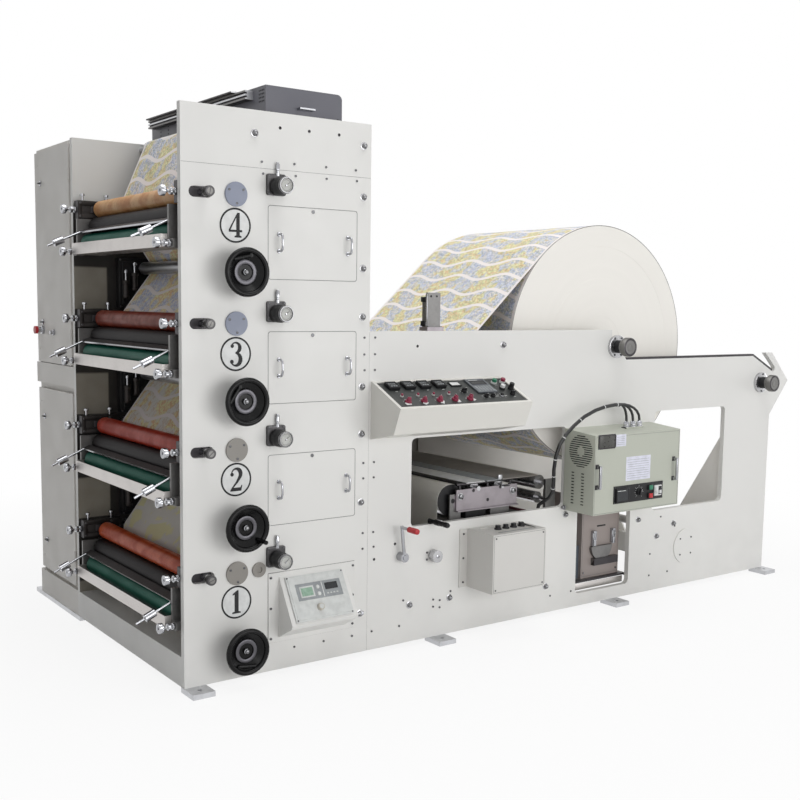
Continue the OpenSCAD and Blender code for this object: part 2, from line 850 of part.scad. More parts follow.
// A bow handle on the operator's plate, its feet dz apart
module bow_handle(x, z, dz) {
    r = 5;
    reach = 32;
    for (s = [-1, 1]) translate([x, 0, z + s * dz / 2]) rotate([90, 0, 0]) {
        cylinder(h = reach, r = r);
        cylinder(h = 3, r = 2 * r);
    }
    translate([x, -reach, z - dz / 2 - r]) cylinder(h = dz + 2 * r, r = r);
}

module door_handles() {
    color("silver") press_frame() for (n = [2:stations], x = [door_x0 + 52, door_x1 - 48])
        bow_handle(x, station(n) + (door_up + door_down) / 2, 70);
}

module register_gauges() {
    color("gray") press_frame() for (n = [1:stations])
        translate([gauge_x, 0, station(n) + gauge_up]) {
            block([-gauge_side / 2, gauge_side / 2], [-14, 0], [-gauge_side / 2, gauge_side / 2]);
            translate([-10, 0, -8]) {
                cross_bar([0, 0], -gauge_reach + 12, -14, gauge_r);
                cross_bar([0, 0], -gauge_reach, -gauge_reach + 12, gauge_r - 6);
            }
            translate([-4, -10, gauge_side / 2]) cylinder(h = 56, r = 9);
        }
}

// ---------- control units ----------

module console_section() {
    polygon([[0, console_top], [-console_d, console_nose_top], [-console_d + console_lip, console_nose_bottom],
        [0, console_bottom]]);
}

// Puts a child on the sloping panel, u along it from the left, v up the slope
module on_panel(u, v) {
    translate([console_x + u, -console_d, console_nose_top]) rotate([panel_tilt, 0, 0])
        translate([0, v, -panel_sink]) children();
}

module control_console() {
    color("lightgray") press_frame() difference() {
        lengthwise(console_x, console_x + console_l) console_section();
        on_panel(panel_rim, panel_rim)
            cube([console_l - 2 * panel_rim, panel_l - 2 * panel_rim, panel_sink + 10]);
    }
}

// Push button or pointer knob on the panel, its cap narrower than its base
module panel_button(h, r, cap_r) {
    cylinder(h = h / 2, r = r);
    cylinder(h = h, r = cap_r);
}

module console_controls() {
    pitch = 89;
    knob_u = 81;
    meter = [58, 54, 16];
    keypad = [118, 126, 8];
    lamp = [62, 38, 6];
    color("dimgray") press_frame() {
        for (i = [0:3]) {
            on_panel(knob_u - meter[0] / 2 + i * pitch, 172) cube(meter);
            on_panel(knob_u + i * pitch, 112) panel_button(14, 9, 6);
        }
        for (i = [0:4]) on_panel(knob_u + i * pitch, 66) panel_button(24, 17, 8);
        on_panel(413, 180) cube(lamp);
        on_panel(450, 128) panel_button(22, 13, 10);
        on_panel(522, 106) cube(keypad);
        for (u = [545, 585, 642]) on_panel(u, 74) panel_button(18, 11, 8);
        for (at = [[684, 196], [742, 200], [694, 140], [744, 134], [716, 84]])
            on_panel(at[0], at[1]) panel_button(22, 15, 12);
    }
}

// Puts a child on the tension box's sloping face, x along it, v down the slope
module on_wedge(x, v) {
    translate([x, tension_top[0], tension_top[1]]) rotate([tension_tilt, 0, 0]) translate([0, -v, 0])
        children();
}

module tension_box() {
    face_l = norm(tension_top - tension_nose);
    margin = 24;
    face_w = tension_wedge[1] - tension_wedge[0] - 2 * margin;
    color("white") press_frame() {
        block([door_x0, door_x1], [-tension_flange, 0], tension_z);
        lengthwise(tension_wedge[0], tension_wedge[1]) polygon([
            [0, tension_top[1]], tension_top, tension_nose, tension_nose + [8, -16], [0, tension_z[0] + 18],
        ]);
        on_wedge(tension_wedge[0] + margin, face_l - margin / 2) cube([face_w, face_l - margin, 6]);
        on_wedge(tension_wedge[0] + margin + 34, face_l - margin - 78) cube([face_w - 60, 72, 8]);
        on_wedge(tension_wedge[0] + 155, face_l - 62) cylinder(h = 22, r = 14);
        translate([tension_wedge[1], tension_nose[0] + 12, tension_nose[1]]) rotate([0, 90, 0]) {
            cylinder(h = 20, r = 4);
            translate([0, 0, 20]) cylinder(h = 14, r = 9);
        }
    }
}

module treater_box() {
    pad_w = 2 * gland_r + 10;
    window_at = [treater_x + 22, treater_z + 339];
    strip_at = [treater_x + 144, treater_z + 47];
    grille_at = [-115, treater_z + 320];
    louvre_y = [-63, -133];
    color("darkseagreen") press_frame() {
        difference() {
            lengthwise(treater_x, treater_x + treater_l)
                polygon([[0, treater_z], [-treater_d, treater_z],
                    [-treater_d, treater_z + treater_h - treater_fall], [0, treater_z + treater_h]]);
            translate([treater_x, 0, 0]) grille_slots(grille_at, 84, 15);
            for (y = louvre_y, i = [0:10])
                block([treater_x - 1, treater_x + 3], [y - 11, y + 11],
                    [treater_z + 42 + i * 16, treater_z + 48 + i * 16]);
        }
        block([gland_x[0] - pad_w / 2, gland_x[2] + pad_w / 2],
            [gland_y - pad_w / 2, gland_y + pad_w / 2], [treater_z + treater_h - 2 * treater_fall, gland_seat]);
        block([window_at[0], window_at[0] + 124], [-treater_d - 2, -treater_d],
            [window_at[1], window_at[1] + 74]);
        block([strip_at[0], strip_at[0] + 374], [-treater_d - 3, -treater_d],
            [strip_at[1], strip_at[1] + 92]);
    }
}

// Slots of the fan grille in the treater's end face, inside a circle of radius r
module grille_slots(at, r, count) {
    pitch = 2 * r / count;
    hub = 24;
    for (i = [0:count - 1]) {
        dz = -r + pitch * (i + 0.5);
        half = sqrt(r * r - dz * dz);
        inner = abs(dz) < hub ? sqrt(hub * hub - dz * dz) : 0;
        for (y = inner > 0 ? [[-half, -inner], [inner, half]] : [[-half, half]])
            block([-1, 3], [at[0] + y[0], at[0] + y[1]], [at[1] + dz - pitch / 4, at[1] + dz + pitch / 4]);
    }
}

module treater_fittings() {
    handle_h = 120;
    mid = treater_z + 198;
    handle_x = [treater_x + 18, treater_x + treater_l - 46];
    strip_z = treater_z + 93;
    strip_face = -treater_d - 3;
    color("silver") press_frame() {
        for (x = handle_x) {
            for (dz = [-handle_h / 2 + bar_r, handle_h / 2 - bar_r])
                translate([x, -treater_d, mid + dz]) rotate([90, 0, 0]) cylinder(h = bar_reach, r = bar_r);
            translate([x, -treater_d - bar_reach, mid - handle_h / 2]) cylinder(h = handle_h, r = bar_r);
        }
        for (x = gland_x) translate([x, gland_y, gland_seat]) {
            cylinder(h = gland_h / 2, r = gland_r);
            cylinder(h = gland_h, r = gland_r - 4);
        }
        block([treater_x + 154, treater_x + 248], [strip_face - 4, strip_face], [strip_z - 40, strip_z + 34]);
        cross_bar([treater_x + 331, strip_z + 3], strip_face - 18, strip_face, 17);
        for (dz = [-24, 20]) cross_bar([treater_x + 417, strip_z + dz], strip_face - 10, strip_face, 13);
        block([treater_x + 448, treater_x + 502], [strip_face - 8, strip_face], [strip_z - 30, strip_z + 25]);
    }
}

// Ring of a tube across the direction of travel at point i of a route
function tube_ring(route, i, r, sides) =
    let (a = route[max(i - 1, 0)], b = route[min(i + 1, len(route) - 1)],
        t = (b - a) / norm(b - a),
        u = cross(t, [0, 1, 0]) / norm(cross(t, [0, 1, 0])),
        v = cross(t, u))
    [for (k = [0:sides - 1]) route[i] + r * (cos(360 * k / sides) * u + sin(360 * k / sides) * v)];

module tube(route, r) {
    sides = 10;
    rings = len(route);
    polyhedron(
        points = [for (i = [0:rings - 1]) each tube_ring(route, i, r, sides)],
        faces = concat(
            [[for (k = [0:sides - 1]) k]],
            [for (i = [0:rings - 2], k = [0:sides - 1])
                let (a = i * sides + k, b = i * sides + (k + 1) % sides)
                each [[a, a + sides, b], [b, a + sides, b + sides]]],
            [[for (k = [sides - 1:-1:0]) (rings - 1) * sides + k]]
        ));
}

// A lead rises from its gland and bends over into the trunk
module treater_lead(x) {
    mouth = [x, gland_y, gland_seat + gland_h];
    base = mouth + [0, 0, 8];
    bend = trunk_route[0] + [0, 0, 4] - base;
    tube(concat([mouth, base], [for (a = [15:15:90])
        base + [bend[0] * (1 - cos(a)), bend[1] * (1 - cos(a)), bend[2] * sin(a)]],
        [trunk_route[1]]), lead_r);
}

module treater_cables() {
    color([0.1, 0.1, 0.1]) press_frame() {
        tube(trunk_route, trunk_r);
        for (x = gland_x) treater_lead(x);
    }
}

module control_box() {
    flange_w = 47;
    top = box_z + box_h;
    panel_x = [box_x + 49, box_x + box_l - 30];
    panel_y = [-166, -31];
    panel_z = top - 6;
    knobs = 4;
    color("whitesmoke") press_frame() {
        difference() {
            block([box_x, box_x + box_l], [-box_d, 0], [box_z, top]);
            block(panel_x, panel_y, [panel_z, top + 1]);
        }
        block([box_x - flange_w, box_x], [-6, 0], [box_z, top]);
        for (i = [0:knobs - 1])
            translate([panel_x[0] + 84 + 51 * i, (panel_y[0] + panel_y[1]) / 2 + 20, panel_z]) {
                cylinder(h = 6, r = 17);
                cylinder(h = 20, r = 13);
            }
    }
}

// ---------- between the frame plates ----------

module window_bracket() {
    x = [turn_roller[0] + 14, bracket_rollers[1][0] + 96];
    arm_x = [turn_roller[0] - 20, turn_roller[0] + 50];
    z = [window_z + 22, window_z + 131];
    deck = [window_z - 30, window_z - 15];
    plate = 10;
    stand_off = 26;
    color("gray") press_frame() {
        block([arm_x[0], x[1] + 19], [plate_t, far_face], deck);
        for (side = [0, 1]) {
            y = side == 0 ? [roller_y0 - stand_off - plate, roller_y0 - stand_off]
                : [roller_y1 + stand_off, roller_y1 + stand_off + plate];
            lip = side == 0 ? [y[0] - 14, y[0]] : [y[1], y[1] + 14];
            arm = side == 0 ? [y[1], y[1] + plate] : [y[0] - plate, y[0]];
            foot = side == 0 ? [y[0], y[0] + 150] : [y[1] - 150, y[1]];
            difference() {
                block(x, y, z);
                for (r = bracket_rollers) cross_bar([r[0], r[1]], y[0] - 1, y[1] + 1, ink_journal_r + running);
            }
            difference() {
                block([arm_x[0], arm_x[1]], arm, [deck[1], turn_roller[1] + 32]);
                cross_bar([turn_roller[0], turn_roller[1]], arm[0] - 1, arm[1] + 1, ink_journal_r + running);
            }
            block(x, lip, [z[0], z[0] + 6]);
            block([turn_roller[0] + turn_roller[2] - 4, x[0] + 190], foot, [deck[1], z[0]]);
            block([x[0] + 222, x[0] + 346], foot, [deck[1], z[0]]);
        }
        for (y = [[plate_t, plate_t + hanger_t], [far_face - hanger_t, far_face]])
            block([feed_rollers[1][0] - 30, feed_rollers[0][0] + 30], y, [window_z - 65, feed_rollers[0][1] + 30]);
    }
}

module window_rollers() {
    journal_y = [roller_y0 - 36, roller_y1 + 36];
    color("silver") press_frame() {
        for (r = concat([turn_roller], bracket_rollers, feed_rollers))
            cross_bar([r[0], r[1]], roller_y0, roller_y1, r[2]);
        cross_bar([turn_roller[0], turn_roller[1]], journal_y[0] + 10, journal_y[1] - 10, ink_journal_r);
        for (r = bracket_rollers) cross_bar([r[0], r[1]], journal_y[0], journal_y[1], ink_journal_r);
        for (i = [0:1])
            cross_bar([feed_rollers[i][0], feed_rollers[i][1]],
                plate_t + hanger_t, far_face - hanger_t, ink_journal_r);
        cross_bar([feed_rollers[2][0], feed_rollers[2][1]], plate_t, far_face, ink_journal_r);
    }
}

// Latched cover behind the service opening, on a shelf that two lugs carry
module latch_box() {
    shelf = [service_z + 40, service_z + 50];
    shelf_y = [plate_t + 12, plate_t + 352];
    cover_x = [service_x + 111, service_x + 401];
    cover_y = plate_t + 42;
    lug = 20;
    color("gainsboro") press_frame() {
        block([service_x - lug, service_x + service_l + lug], shelf_y, shelf);
        for (x = [service_x - lug, service_x + service_l])
            block([x, x + lug], [plate_t, shelf_y[0] + lug], shelf);
        block(cover_x, [cover_y, cover_y + 12], [shelf[1], service_z + 500]);
        block([cover_x[0], cover_x[0] + 12], [cover_y, shelf_y[1]], [shelf[1], service_z + 500]);
        for (x = [cover_x[0] + 84, cover_x[0] + 233])
            block([x - 13, x + 13], [cover_y - 14, cover_y], [service_z + 228, service_z + 308]);
        intersection() {
            cross_bar([cover_x[0] + 141, service_z + 222], cover_y - 18, cover_y, 80);
            block(cover_x, [cover_y - 18, cover_y], [service_z + 140, service_z + 222]);
        }
        block([cover_x[0] + 76, cover_x[0] + 262], [cover_y - 26, cover_y], [service_z + 118, service_z + 156]);
        block([service_x + 63, cover_x[0]], [cover_y + 20, cover_y + 140], [shelf[1], service_z + 230]);
    }
}

module post_gussets() {
    foot_z = foot_t + sill_h;
    gusset_t = 12;
    color("whitesmoke") press_frame() both_sides()
        lengthwise(gusset_x - gusset_t / 2, gusset_x + gusset_t / 2)
            polygon([
                [plate_t, gusset_z[1]], [plate_t, gusset_z[0]],
                [plate_t + (gusset_z[0] - foot_z) / gusset_slope, foot_z],
                [plate_t + (gusset_z[1] - foot_z) / gusset_slope, foot_z],
            ]);
}

module sensor_bracket() {
    base_x = [tower_l + 326, tower_l + 422];
    base_t = 18;
    color("dimgray") press_frame() {
        block(base_x, [0, 62], [deck_h, deck_h + base_t]);
        block([base_x[0] + 8, base_x[1] - 14], [10, 24], [deck_h + base_t, deck_h + 178]);
        block([base_x[0] + 12, base_x[1] - 34], [24, 58], [deck_h + base_t, deck_h + 150]);
    }
}

module chuck_knob() {
    rotate([90, 0, 0]) {
        cylinder(h = 16, r = 60);
        translate([0, 0, 16]) cylinder(h = 44, r = 34);
        translate([0, 0, 60]) cylinder(h = 14, r = 42);
        translate([0, 0, 74]) cylinder(h = 30, r = 49);
    }
}

module chuck_knobs() {
    adjust_at = [window_x + 130, window_z - 150];
    clamp_x = window_x + 132;
    color("dimgray") press_frame() {
        for (at = [[roll_x, roll_z], [press_l - 279, rail_h - 173]])
            translate([at[0], 0, at[1]]) chuck_knob();
        cross_bar(adjust_at, -14, 0, 22);
        cross_bar(adjust_at, -46, -14, 29);
        block([clamp_x - 14, clamp_x + 14], [4, 24], [window_z, window_z + 16]);
        cross_bar([clamp_x, window_z + 12], -118, 30, 10);
        cross_bar([clamp_x, window_z + 12], -50, -20, 14);
    }
}

module crank_lever() {
    arm_l = 145;
    arm_lean = 6;
    rod_l = 55;
    color("firebrick") press_frame() translate([crank_at[0], 0, crank_at[1]]) rotate([90, 0, 0]) {
        translate([0, 0, -plate_t]) cylinder(h = plate_t + 10, r = crank_pin_r);
        translate([0, 0, seat]) cylinder(h = 42, r = 22);
        rotate([0, 0, arm_lean]) {
            translate([0, 0, 34]) rotate([-90, 0, 0]) cylinder(h = arm_l + 7, r = 8);
            translate([0, arm_l, 34]) {
                cylinder(h = rod_l, r = 7);
                translate([0, 0, rod_l]) cylinder(h = 64, r = 13);
            }
        }
    }
}

module cap_nuts() {
    r = 15;
    tall_nuts = concat(tower_ties, [for (n = [2:stations]) [tie_x, station(n) + 29]],
        [[tie_x, foot_t + sill_h + 55], [guide_x + 5, tower_h - 94]]);
    color("silver") press_frame() for (at = tall_nuts) {
        cross_bar(at, -4, 0, r);
        cross_bar(at, -16, -4, r - 3);
    }
}

operator_tower_plate();
operator_frame_plate();
drive_tower_plate();
drive_frame_plate();
base_frame();
feet();
electrical_cabinet();
cabinet_door_upper();
cabinet_door_lower();
emergency_stop();
dryer_hood();
hood_rail();
ink_trays();
doctor_blades();
roller_brackets();
adjuster_knobs();
plate_cylinder_1();
plate_cylinder_2();
plate_cylinder_3();
plate_cylinder_4();
anilox_roller_1();
anilox_roller_2();
anilox_roller_3();
anilox_roller_4();
fountain_roller_1();
fountain_roller_2();
fountain_roller_3();
fountain_roller_4();
impression_cylinders();
guide_rollers();
paper_web();
paper_roll();
roll_shaft();
handwheel_1();
handwheel_2();
handwheel_3();
handwheel_4();
access_doors();
door_handles();
cover_discs();
register_gauges();
control_console();
console_controls();
tension_box();
treater_box();
treater_fittings();
treater_cables();
control_box();
window_rollers();
window_bracket();
rail_strips();
sensor_bracket();
post_gussets();
chuck_knobs();
crank_lever();
cap_nuts();
latch_box();
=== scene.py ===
from math import asin, atan2, ceil, cos, hypot, pi, radians, sin

import bmesh
import bpy
from mathutils import Matrix, Vector


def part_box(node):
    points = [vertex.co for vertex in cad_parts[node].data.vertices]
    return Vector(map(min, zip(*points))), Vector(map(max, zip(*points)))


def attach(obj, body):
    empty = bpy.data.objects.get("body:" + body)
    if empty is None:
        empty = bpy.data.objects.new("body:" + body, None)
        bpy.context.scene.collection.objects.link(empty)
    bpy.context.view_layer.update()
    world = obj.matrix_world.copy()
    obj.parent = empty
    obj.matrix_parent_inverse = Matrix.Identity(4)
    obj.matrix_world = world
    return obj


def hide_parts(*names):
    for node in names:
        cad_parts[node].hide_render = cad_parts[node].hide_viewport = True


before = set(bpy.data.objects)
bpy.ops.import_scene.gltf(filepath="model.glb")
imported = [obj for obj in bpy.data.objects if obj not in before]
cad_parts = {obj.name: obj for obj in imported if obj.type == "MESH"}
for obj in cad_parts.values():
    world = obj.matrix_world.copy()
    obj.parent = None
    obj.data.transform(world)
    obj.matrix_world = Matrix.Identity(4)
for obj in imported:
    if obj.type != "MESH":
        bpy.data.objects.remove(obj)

bpy.context.view_layer.update()

# The press is measured in millimetres: x back from the tower's front edge,
# y in from the outer face of the operator's side plate, z up from the floor.
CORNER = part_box("operator_tower_plate")[0]
CORNER.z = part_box("feet")[0].z
STATIONS = [479, 1004, 1529, 2054]
DRIVE_INNER, DRIVE_OUTER = 1240, 1268
WHEEL_X, WHEEL_DROP = 243, 316
TREATER_X, TREATER_Z, TREATER_FACE = 2147, 558, -215
BOX_X, BOX_Z, BOX_TOP, BOX_FACE = 1497, 242, 530, -200
ROLL_AT = (2504, 1405)
ROLL_RADIUS = 645
ROLLER_Y = (120, 1120)
WEB_THICKNESS = 1.2
WEB_GAP = 0.3
NIP_X = 188
ORANGE_PEEL = 0.00008
ADJUSTER_DROP = 204.2
SMOOTH_BELOW = radians(35)
TRUNK = [(2425, -112, 1104), (2390, -116, 1107), (2312, -119, 1100), (2240, -120, 1085), (2160, -120, 1056),
         (2089, -120, 1014), (2035, -118, 970), (2000, -112, 921), (1985, -102, 860), (1990, -86, 791),
         (2014, -62, 723), (2036, -32, 664)]
FRONT = Matrix.Rotation(pi / 2, 4, "X")
BACK = Matrix.Rotation(-pi / 2, 4, "X")
LEFT = Matrix.Rotation(-pi / 2, 4, "Y")
UPWARD = Matrix.Identity(4)


def at(x, y, z):
    return CORNER + Vector((x, y, z)) / 1000


def press_mm(point):
    return (point - CORNER) * 1000


def spot(x, y, z, facing=FRONT, turn=0.0):
    """Place of a fitting whose own z axis looks out of the face that carries it."""
    return Matrix.Translation(at(x, y, z)) @ facing @ Matrix.Rotation(radians(turn), 4, "Z")


def aimed(direction, axis, up):
    return direction.to_track_quat(axis, up).to_matrix().to_4x4()


def shift(x, y, z):
    return Matrix.Translation(Vector((x, y, z)) / 1000)


def twist(angle):
    return Matrix.Rotation(angle, 4, "Z")


AS_DRAWN = Matrix.Translation(at(0, 0, 0))
# the sloping faces of the console, whose panel is sunk 5 mm, and of the tension control
PANEL = Matrix.Translation(at(921, -230, 1163)) @ Matrix.Rotation(radians(24.95), 4, "X") @ shift(0, 0, -5)
WEDGE = Matrix.Translation(at(0, -4, 437)) @ Matrix.Rotation(radians(58.69), 4, "X")


# ---------- camera, floor and light ----------

def set_camera():
    yaw, pitch, roll = radians(35.551), radians(-5.985), radians(0.6915)
    ahead = Vector((sin(yaw) * cos(pitch), cos(yaw) * cos(pitch), sin(pitch)))
    level = Vector((cos(yaw), -sin(yaw), 0))
    rise = level.cross(ahead)
    side = level * cos(roll) + rise * sin(roll)
    up = rise * cos(roll) - level * sin(roll)
    lens = bpy.data.cameras.new("camera")
    lens.sensor_width = 36
    lens.lens = 48.563
    lens.shift_x = 0.0109
    lens.shift_y = 0.0208
    lens.clip_start, lens.clip_end = 0.1, 100
    camera = bpy.data.objects.new("camera", lens)
    bpy.context.collection.objects.link(camera)
    turned = Matrix((side, up, -ahead)).transposed().to_4x4()
    camera.matrix_world = Matrix.Translation(at(-1827.7, -4006.1, 1619.3)) @ turned
    bpy.context.scene.camera = camera


def add_softbox(name, place, target, size, watts):
    lamp = bpy.data.lights.new(name, "AREA")
    lamp.shape = "RECTANGLE"
    lamp.size, lamp.size_y = size
    lamp.energy = watts
    softbox = bpy.data.objects.new(name, lamp)
    bpy.context.collection.objects.link(softbox)
    place, target = at(*place), at(*target)
    softbox.matrix_world = Matrix.Translation(place) @ aimed(target - place, "-Z", "Y")


def seen_directly(nodes, links):
    """1 for what the camera, a mirror or glass sees, 0 for what lights the press."""
    path = nodes.new("ShaderNodeLightPath")
    total = path.outputs["Is Camera Ray"]
    for ray in ("Is Glossy Ray", "Is Transmission Ray"):
        either = nodes.new("ShaderNodeMath")
        either.operation = "MAXIMUM"
        links.new(total, either.inputs[0])
        links.new(path.outputs[ray], either.inputs[1])
        total = either.outputs[0]
    return total


def set_world():
    world = bpy.data.worlds.new("studio")
    bpy.context.scene.world = world
    world.use_nodes = True
    nodes, links = world.node_tree.nodes, world.node_tree.links
    nodes.clear()
    output = nodes.new("ShaderNodeOutputWorld")
    mix = nodes.new("ShaderNodeMixShader")
    fill, white = nodes.new("ShaderNodeBackground"), nodes.new("ShaderNodeBackground")
    fill.inputs["Color"].default_value = (0.97, 0.985, 1, 1)
    fill.inputs["Strength"].default_value = 0.22
    white.inputs["Color"].default_value = (1, 1, 1, 1)
    links.new(seen_directly(nodes, links), mix.inputs[0])
    links.new(fill.outputs[0], mix.inputs[1])
    links.new(white.outputs[0], mix.inputs[2])
    links.new(mix.outputs[0], output.inputs["Surface"])


def set_floor():
    bpy.ops.object.select_all(action="DESELECT")
    bpy.ops.mesh.primitive_plane_add(size=60, location=at(1900, 800, 0) - Vector((0, 0, 0.0005)))
    floor = bpy.context.object
    floor.name = "floor"
    material = bpy.data.materials.new("floor")
    material.use_nodes = True
    nodes, links = material.node_tree.nodes, material.node_tree.links
    surface = nodes["Principled BSDF"]
    surface.inputs["Base Color"].default_value = (0.86, 0.86, 0.86, 1)
    surface.inputs["Roughness"].default_value = 0.9
    surface.inputs["Specular IOR Level"].default_value = 0.1
    output = nodes["Material Output"]
    glow = nodes.new("ShaderNodeEmission")
    share = nodes.new("ShaderNodeMath")
    share.operation = "MULTIPLY"
    links.new(seen_directly(nodes, links), share.inputs[0])
    spread = nodes.new("ShaderNodeTexCoord")
    length = nodes.new("ShaderNodeVectorMath")
    length.operation = "LENGTH"
    links.new(spread.outputs["Object"], length.inputs[0])
    fade = nodes.new("ShaderNodeMapRange")
    for key, value in {"From Min": 1.8, "From Max": 4.5, "To Min": 0.87, "To Max": 1.0}.items():
        fade.inputs[key].default_value = value
    links.new(length.outputs["Value"], fade.inputs["Value"])
    links.new(fade.outputs[0], share.inputs[1])
    mix = nodes.new("ShaderNodeMixShader")
    links.new(share.outputs[0], mix.inputs[0])
    links.new(surface.outputs[0], mix.inputs[1])
    links.new(glow.outputs[0], mix.inputs[2])
    links.new(mix.outputs[0], output.inputs["Surface"])
    floor.data.materials.append(material)


# ---------- finishes ----------

def level(value):
    value /= 255
    return value / 12.92 if value <= 0.04045 else ((value + 0.055) / 1.055) ** 2.4


def tint(red, green, blue):
    return (level(red), level(green), level(blue), 1)


def darker(colour, share):
    return (*(c * share for c in colour[:3]), 1)


class Finish:
    """A procedural finish built node by node round one Principled shader."""

    def __init__(self, name, colour, roughness, metallic=0.0, coat=0.0, specular=0.5):
        self.material = bpy.data.materials.new(name)
        self.material.use_nodes = True
        self.tree = self.material.node_tree
        self.shader = self.tree.nodes["Principled BSDF"]
        self.base = tint(*colour)
        for key, value in {"Base Color": self.base, "Roughness": roughness, "Metallic": metallic,
                           "Coat Weight": coat, "Coat Roughness": 0.08,
                           "Specular IOR Level": specular}.items():
            self.shader.inputs[key].default_value = value
        self.place = self.add("ShaderNodeTexCoord").outputs["Object"]

    def add(self, kind, links=(), **settings):
        node = self.tree.nodes.new(kind)
        for key, value in settings.items():
            setattr(node, key, value)
        for key, value in dict(links).items():
            if isinstance(value, bpy.types.NodeSocket):
                self.tree.links.new(value, node.inputs[key])
            else:
                node.inputs[key].default_value = value
        return node

    def mapped(self, vector, stretch=(1, 1, 1), shift=(0, 0, 0)):
        return self.add("ShaderNodeMapping",
                        {"Vector": vector, "Location": shift, "Scale": stretch}).outputs[0]

    def noise(self, scale, detail=3.0, stretch=(1, 1, 1), vector=None):
        vector = vector or self.mapped(self.place, stretch)
        return self.add("ShaderNodeTexNoise",
                        {"Vector": vector, "Scale": scale, "Detail": detail}).outputs["Fac"]

    def span(self, value, low, high, out_low=0.0, out_high=1.0):
        links = {"Value": value, "From Min": low, "From Max": high, "To Min": out_low, "To Max": out_high}
        return self.add("ShaderNodeMapRange", links).outputs[0]

    def sum(self, kind, first, second=0.0):
        return self.add("ShaderNodeMath", {0: first, 1: second}, operation=kind).outputs[0]

    def blend(self, share, first, second):
        return self.add("ShaderNodeMix", {0: share, 6: first, 7: second}, data_type="RGBA").outputs[2]

    def part(self, axis, vector=None):
        return self.add("ShaderNodeSeparateXYZ", {0: vector or self.place}).outputs[axis]

    def colour(self, socket):
        self.tree.links.new(socket, self.shader.inputs["Base Color"])

    def roughness(self, socket):
        self.tree.links.new(socket, self.shader.inputs["Roughness"])

    def relief(self, height, depth, normal=None):
        links = {"Height": height, "Distance": depth, "Strength": 1.0}
        if normal is not None:
            links["Normal"] = normal
        bump = self.add("ShaderNodeBump", links)
        self.tree.links.new(bump.outputs[0], self.shader.inputs["Normal"])

    def rounded(self, radius):
        return self.add("ShaderNodeBevel", {"Radius": radius}, samples=4).outputs[0]


def enamel(name, colour, roughness=0.4):
    """Sprayed paint: orange peel, slow drift of tone, dust low down and dull rubbed patches."""
    paint = Finish(name, colour, roughness)
    drift = paint.span(paint.noise(1.1, 4), 0.35, 0.65)
    tone = paint.blend(drift, darker(paint.base, 0.972), paint.base)
    dust = paint.sum("MULTIPLY", paint.span(paint.part("Z"), 0.55, 0.02),
                     paint.span(paint.noise(7, 5), 0.3, 0.7))
    tone = paint.blend(dust, tone, darker(paint.base, 0.93))
    specks = paint.span(paint.noise(160, 2), 0.74, 0.8, 0.0, 0.25)
    paint.colour(paint.blend(specks, tone, darker(paint.base, 0.7)))
    paint.roughness(paint.span(paint.noise(9, 4), 0.3, 0.7, roughness - 0.07, roughness + 0.1))
    paint.relief(paint.noise(420, 2), ORANGE_PEEL, paint.rounded(0.0012))
    return paint.material


def metal(name, colour, roughness=0.3, stretch=(1, 1, 1), scale=90.0, groove=0.00004, stain=0.8):
    """Worked metal: tool marks along one way, uneven sheen and faint stains."""
    steel = Finish(name, colour, roughness, metallic=1.0)
    stains = steel.span(steel.noise(14, 5), 0.45, 0.75)
    steel.colour(steel.blend(stains, steel.base, darker(steel.base, stain)))
    marks = steel.noise(scale, 4, stretch)
    steel.roughness(steel.span(marks, 0.25, 0.75, roughness - 0.1, roughness + 0.12))
    steel.relief(marks, groove, steel.rounded(0.0008))
    return steel.material


def moulded(name, colour, roughness=0.4, grain=0.00006, specular=0.5):
    """Moulded plastic: fine grain with a slightly uneven gloss."""
    plastic = Finish(name, colour, roughness, specular=specular)
    patches = plastic.span(plastic.noise(30, 3), 0.35, 0.65)
    plastic.colour(plastic.blend(patches, darker(plastic.base, 0.85), plastic.base))
    plastic.roughness(plastic.span(plastic.noise(60, 3), 0.3, 0.7, roughness - 0.06, roughness + 0.08))
    plastic.relief(plastic.noise(900, 2), grain, plastic.rounded(0.0008))
    return plastic.material


def sleeve(name, colour, shade, roughness, cloud=24.0, share=0.6, coat=0.0, stretch=(1, 1, 1)):
    """Roller sleeve: two tones in cloudy patches under a thin film of wet ink."""
    rubber = Finish(name, colour, roughness, coat=coat, specular=0.2)
    clouds = rubber.span(rubber.noise(cloud, 5, stretch), 0.38, 0.62)
    tone = rubber.blend(rubber.sum("MULTIPLY", clouds, share), rubber.base, tint(*shade))
    flecks = rubber.span(rubber.noise(150, 3), 0.56, 0.66, 0.0, 0.45)
    rubber.colour(rubber.blend(flecks, tone, darker(tint(*shade), 0.7)))
    rubber.roughness(rubber.span(clouds, 0, 1, roughness - 0.06, roughness + 0.1))
    rubber.relief(rubber.noise(110, 3), 0.0004)
    return rubber.material


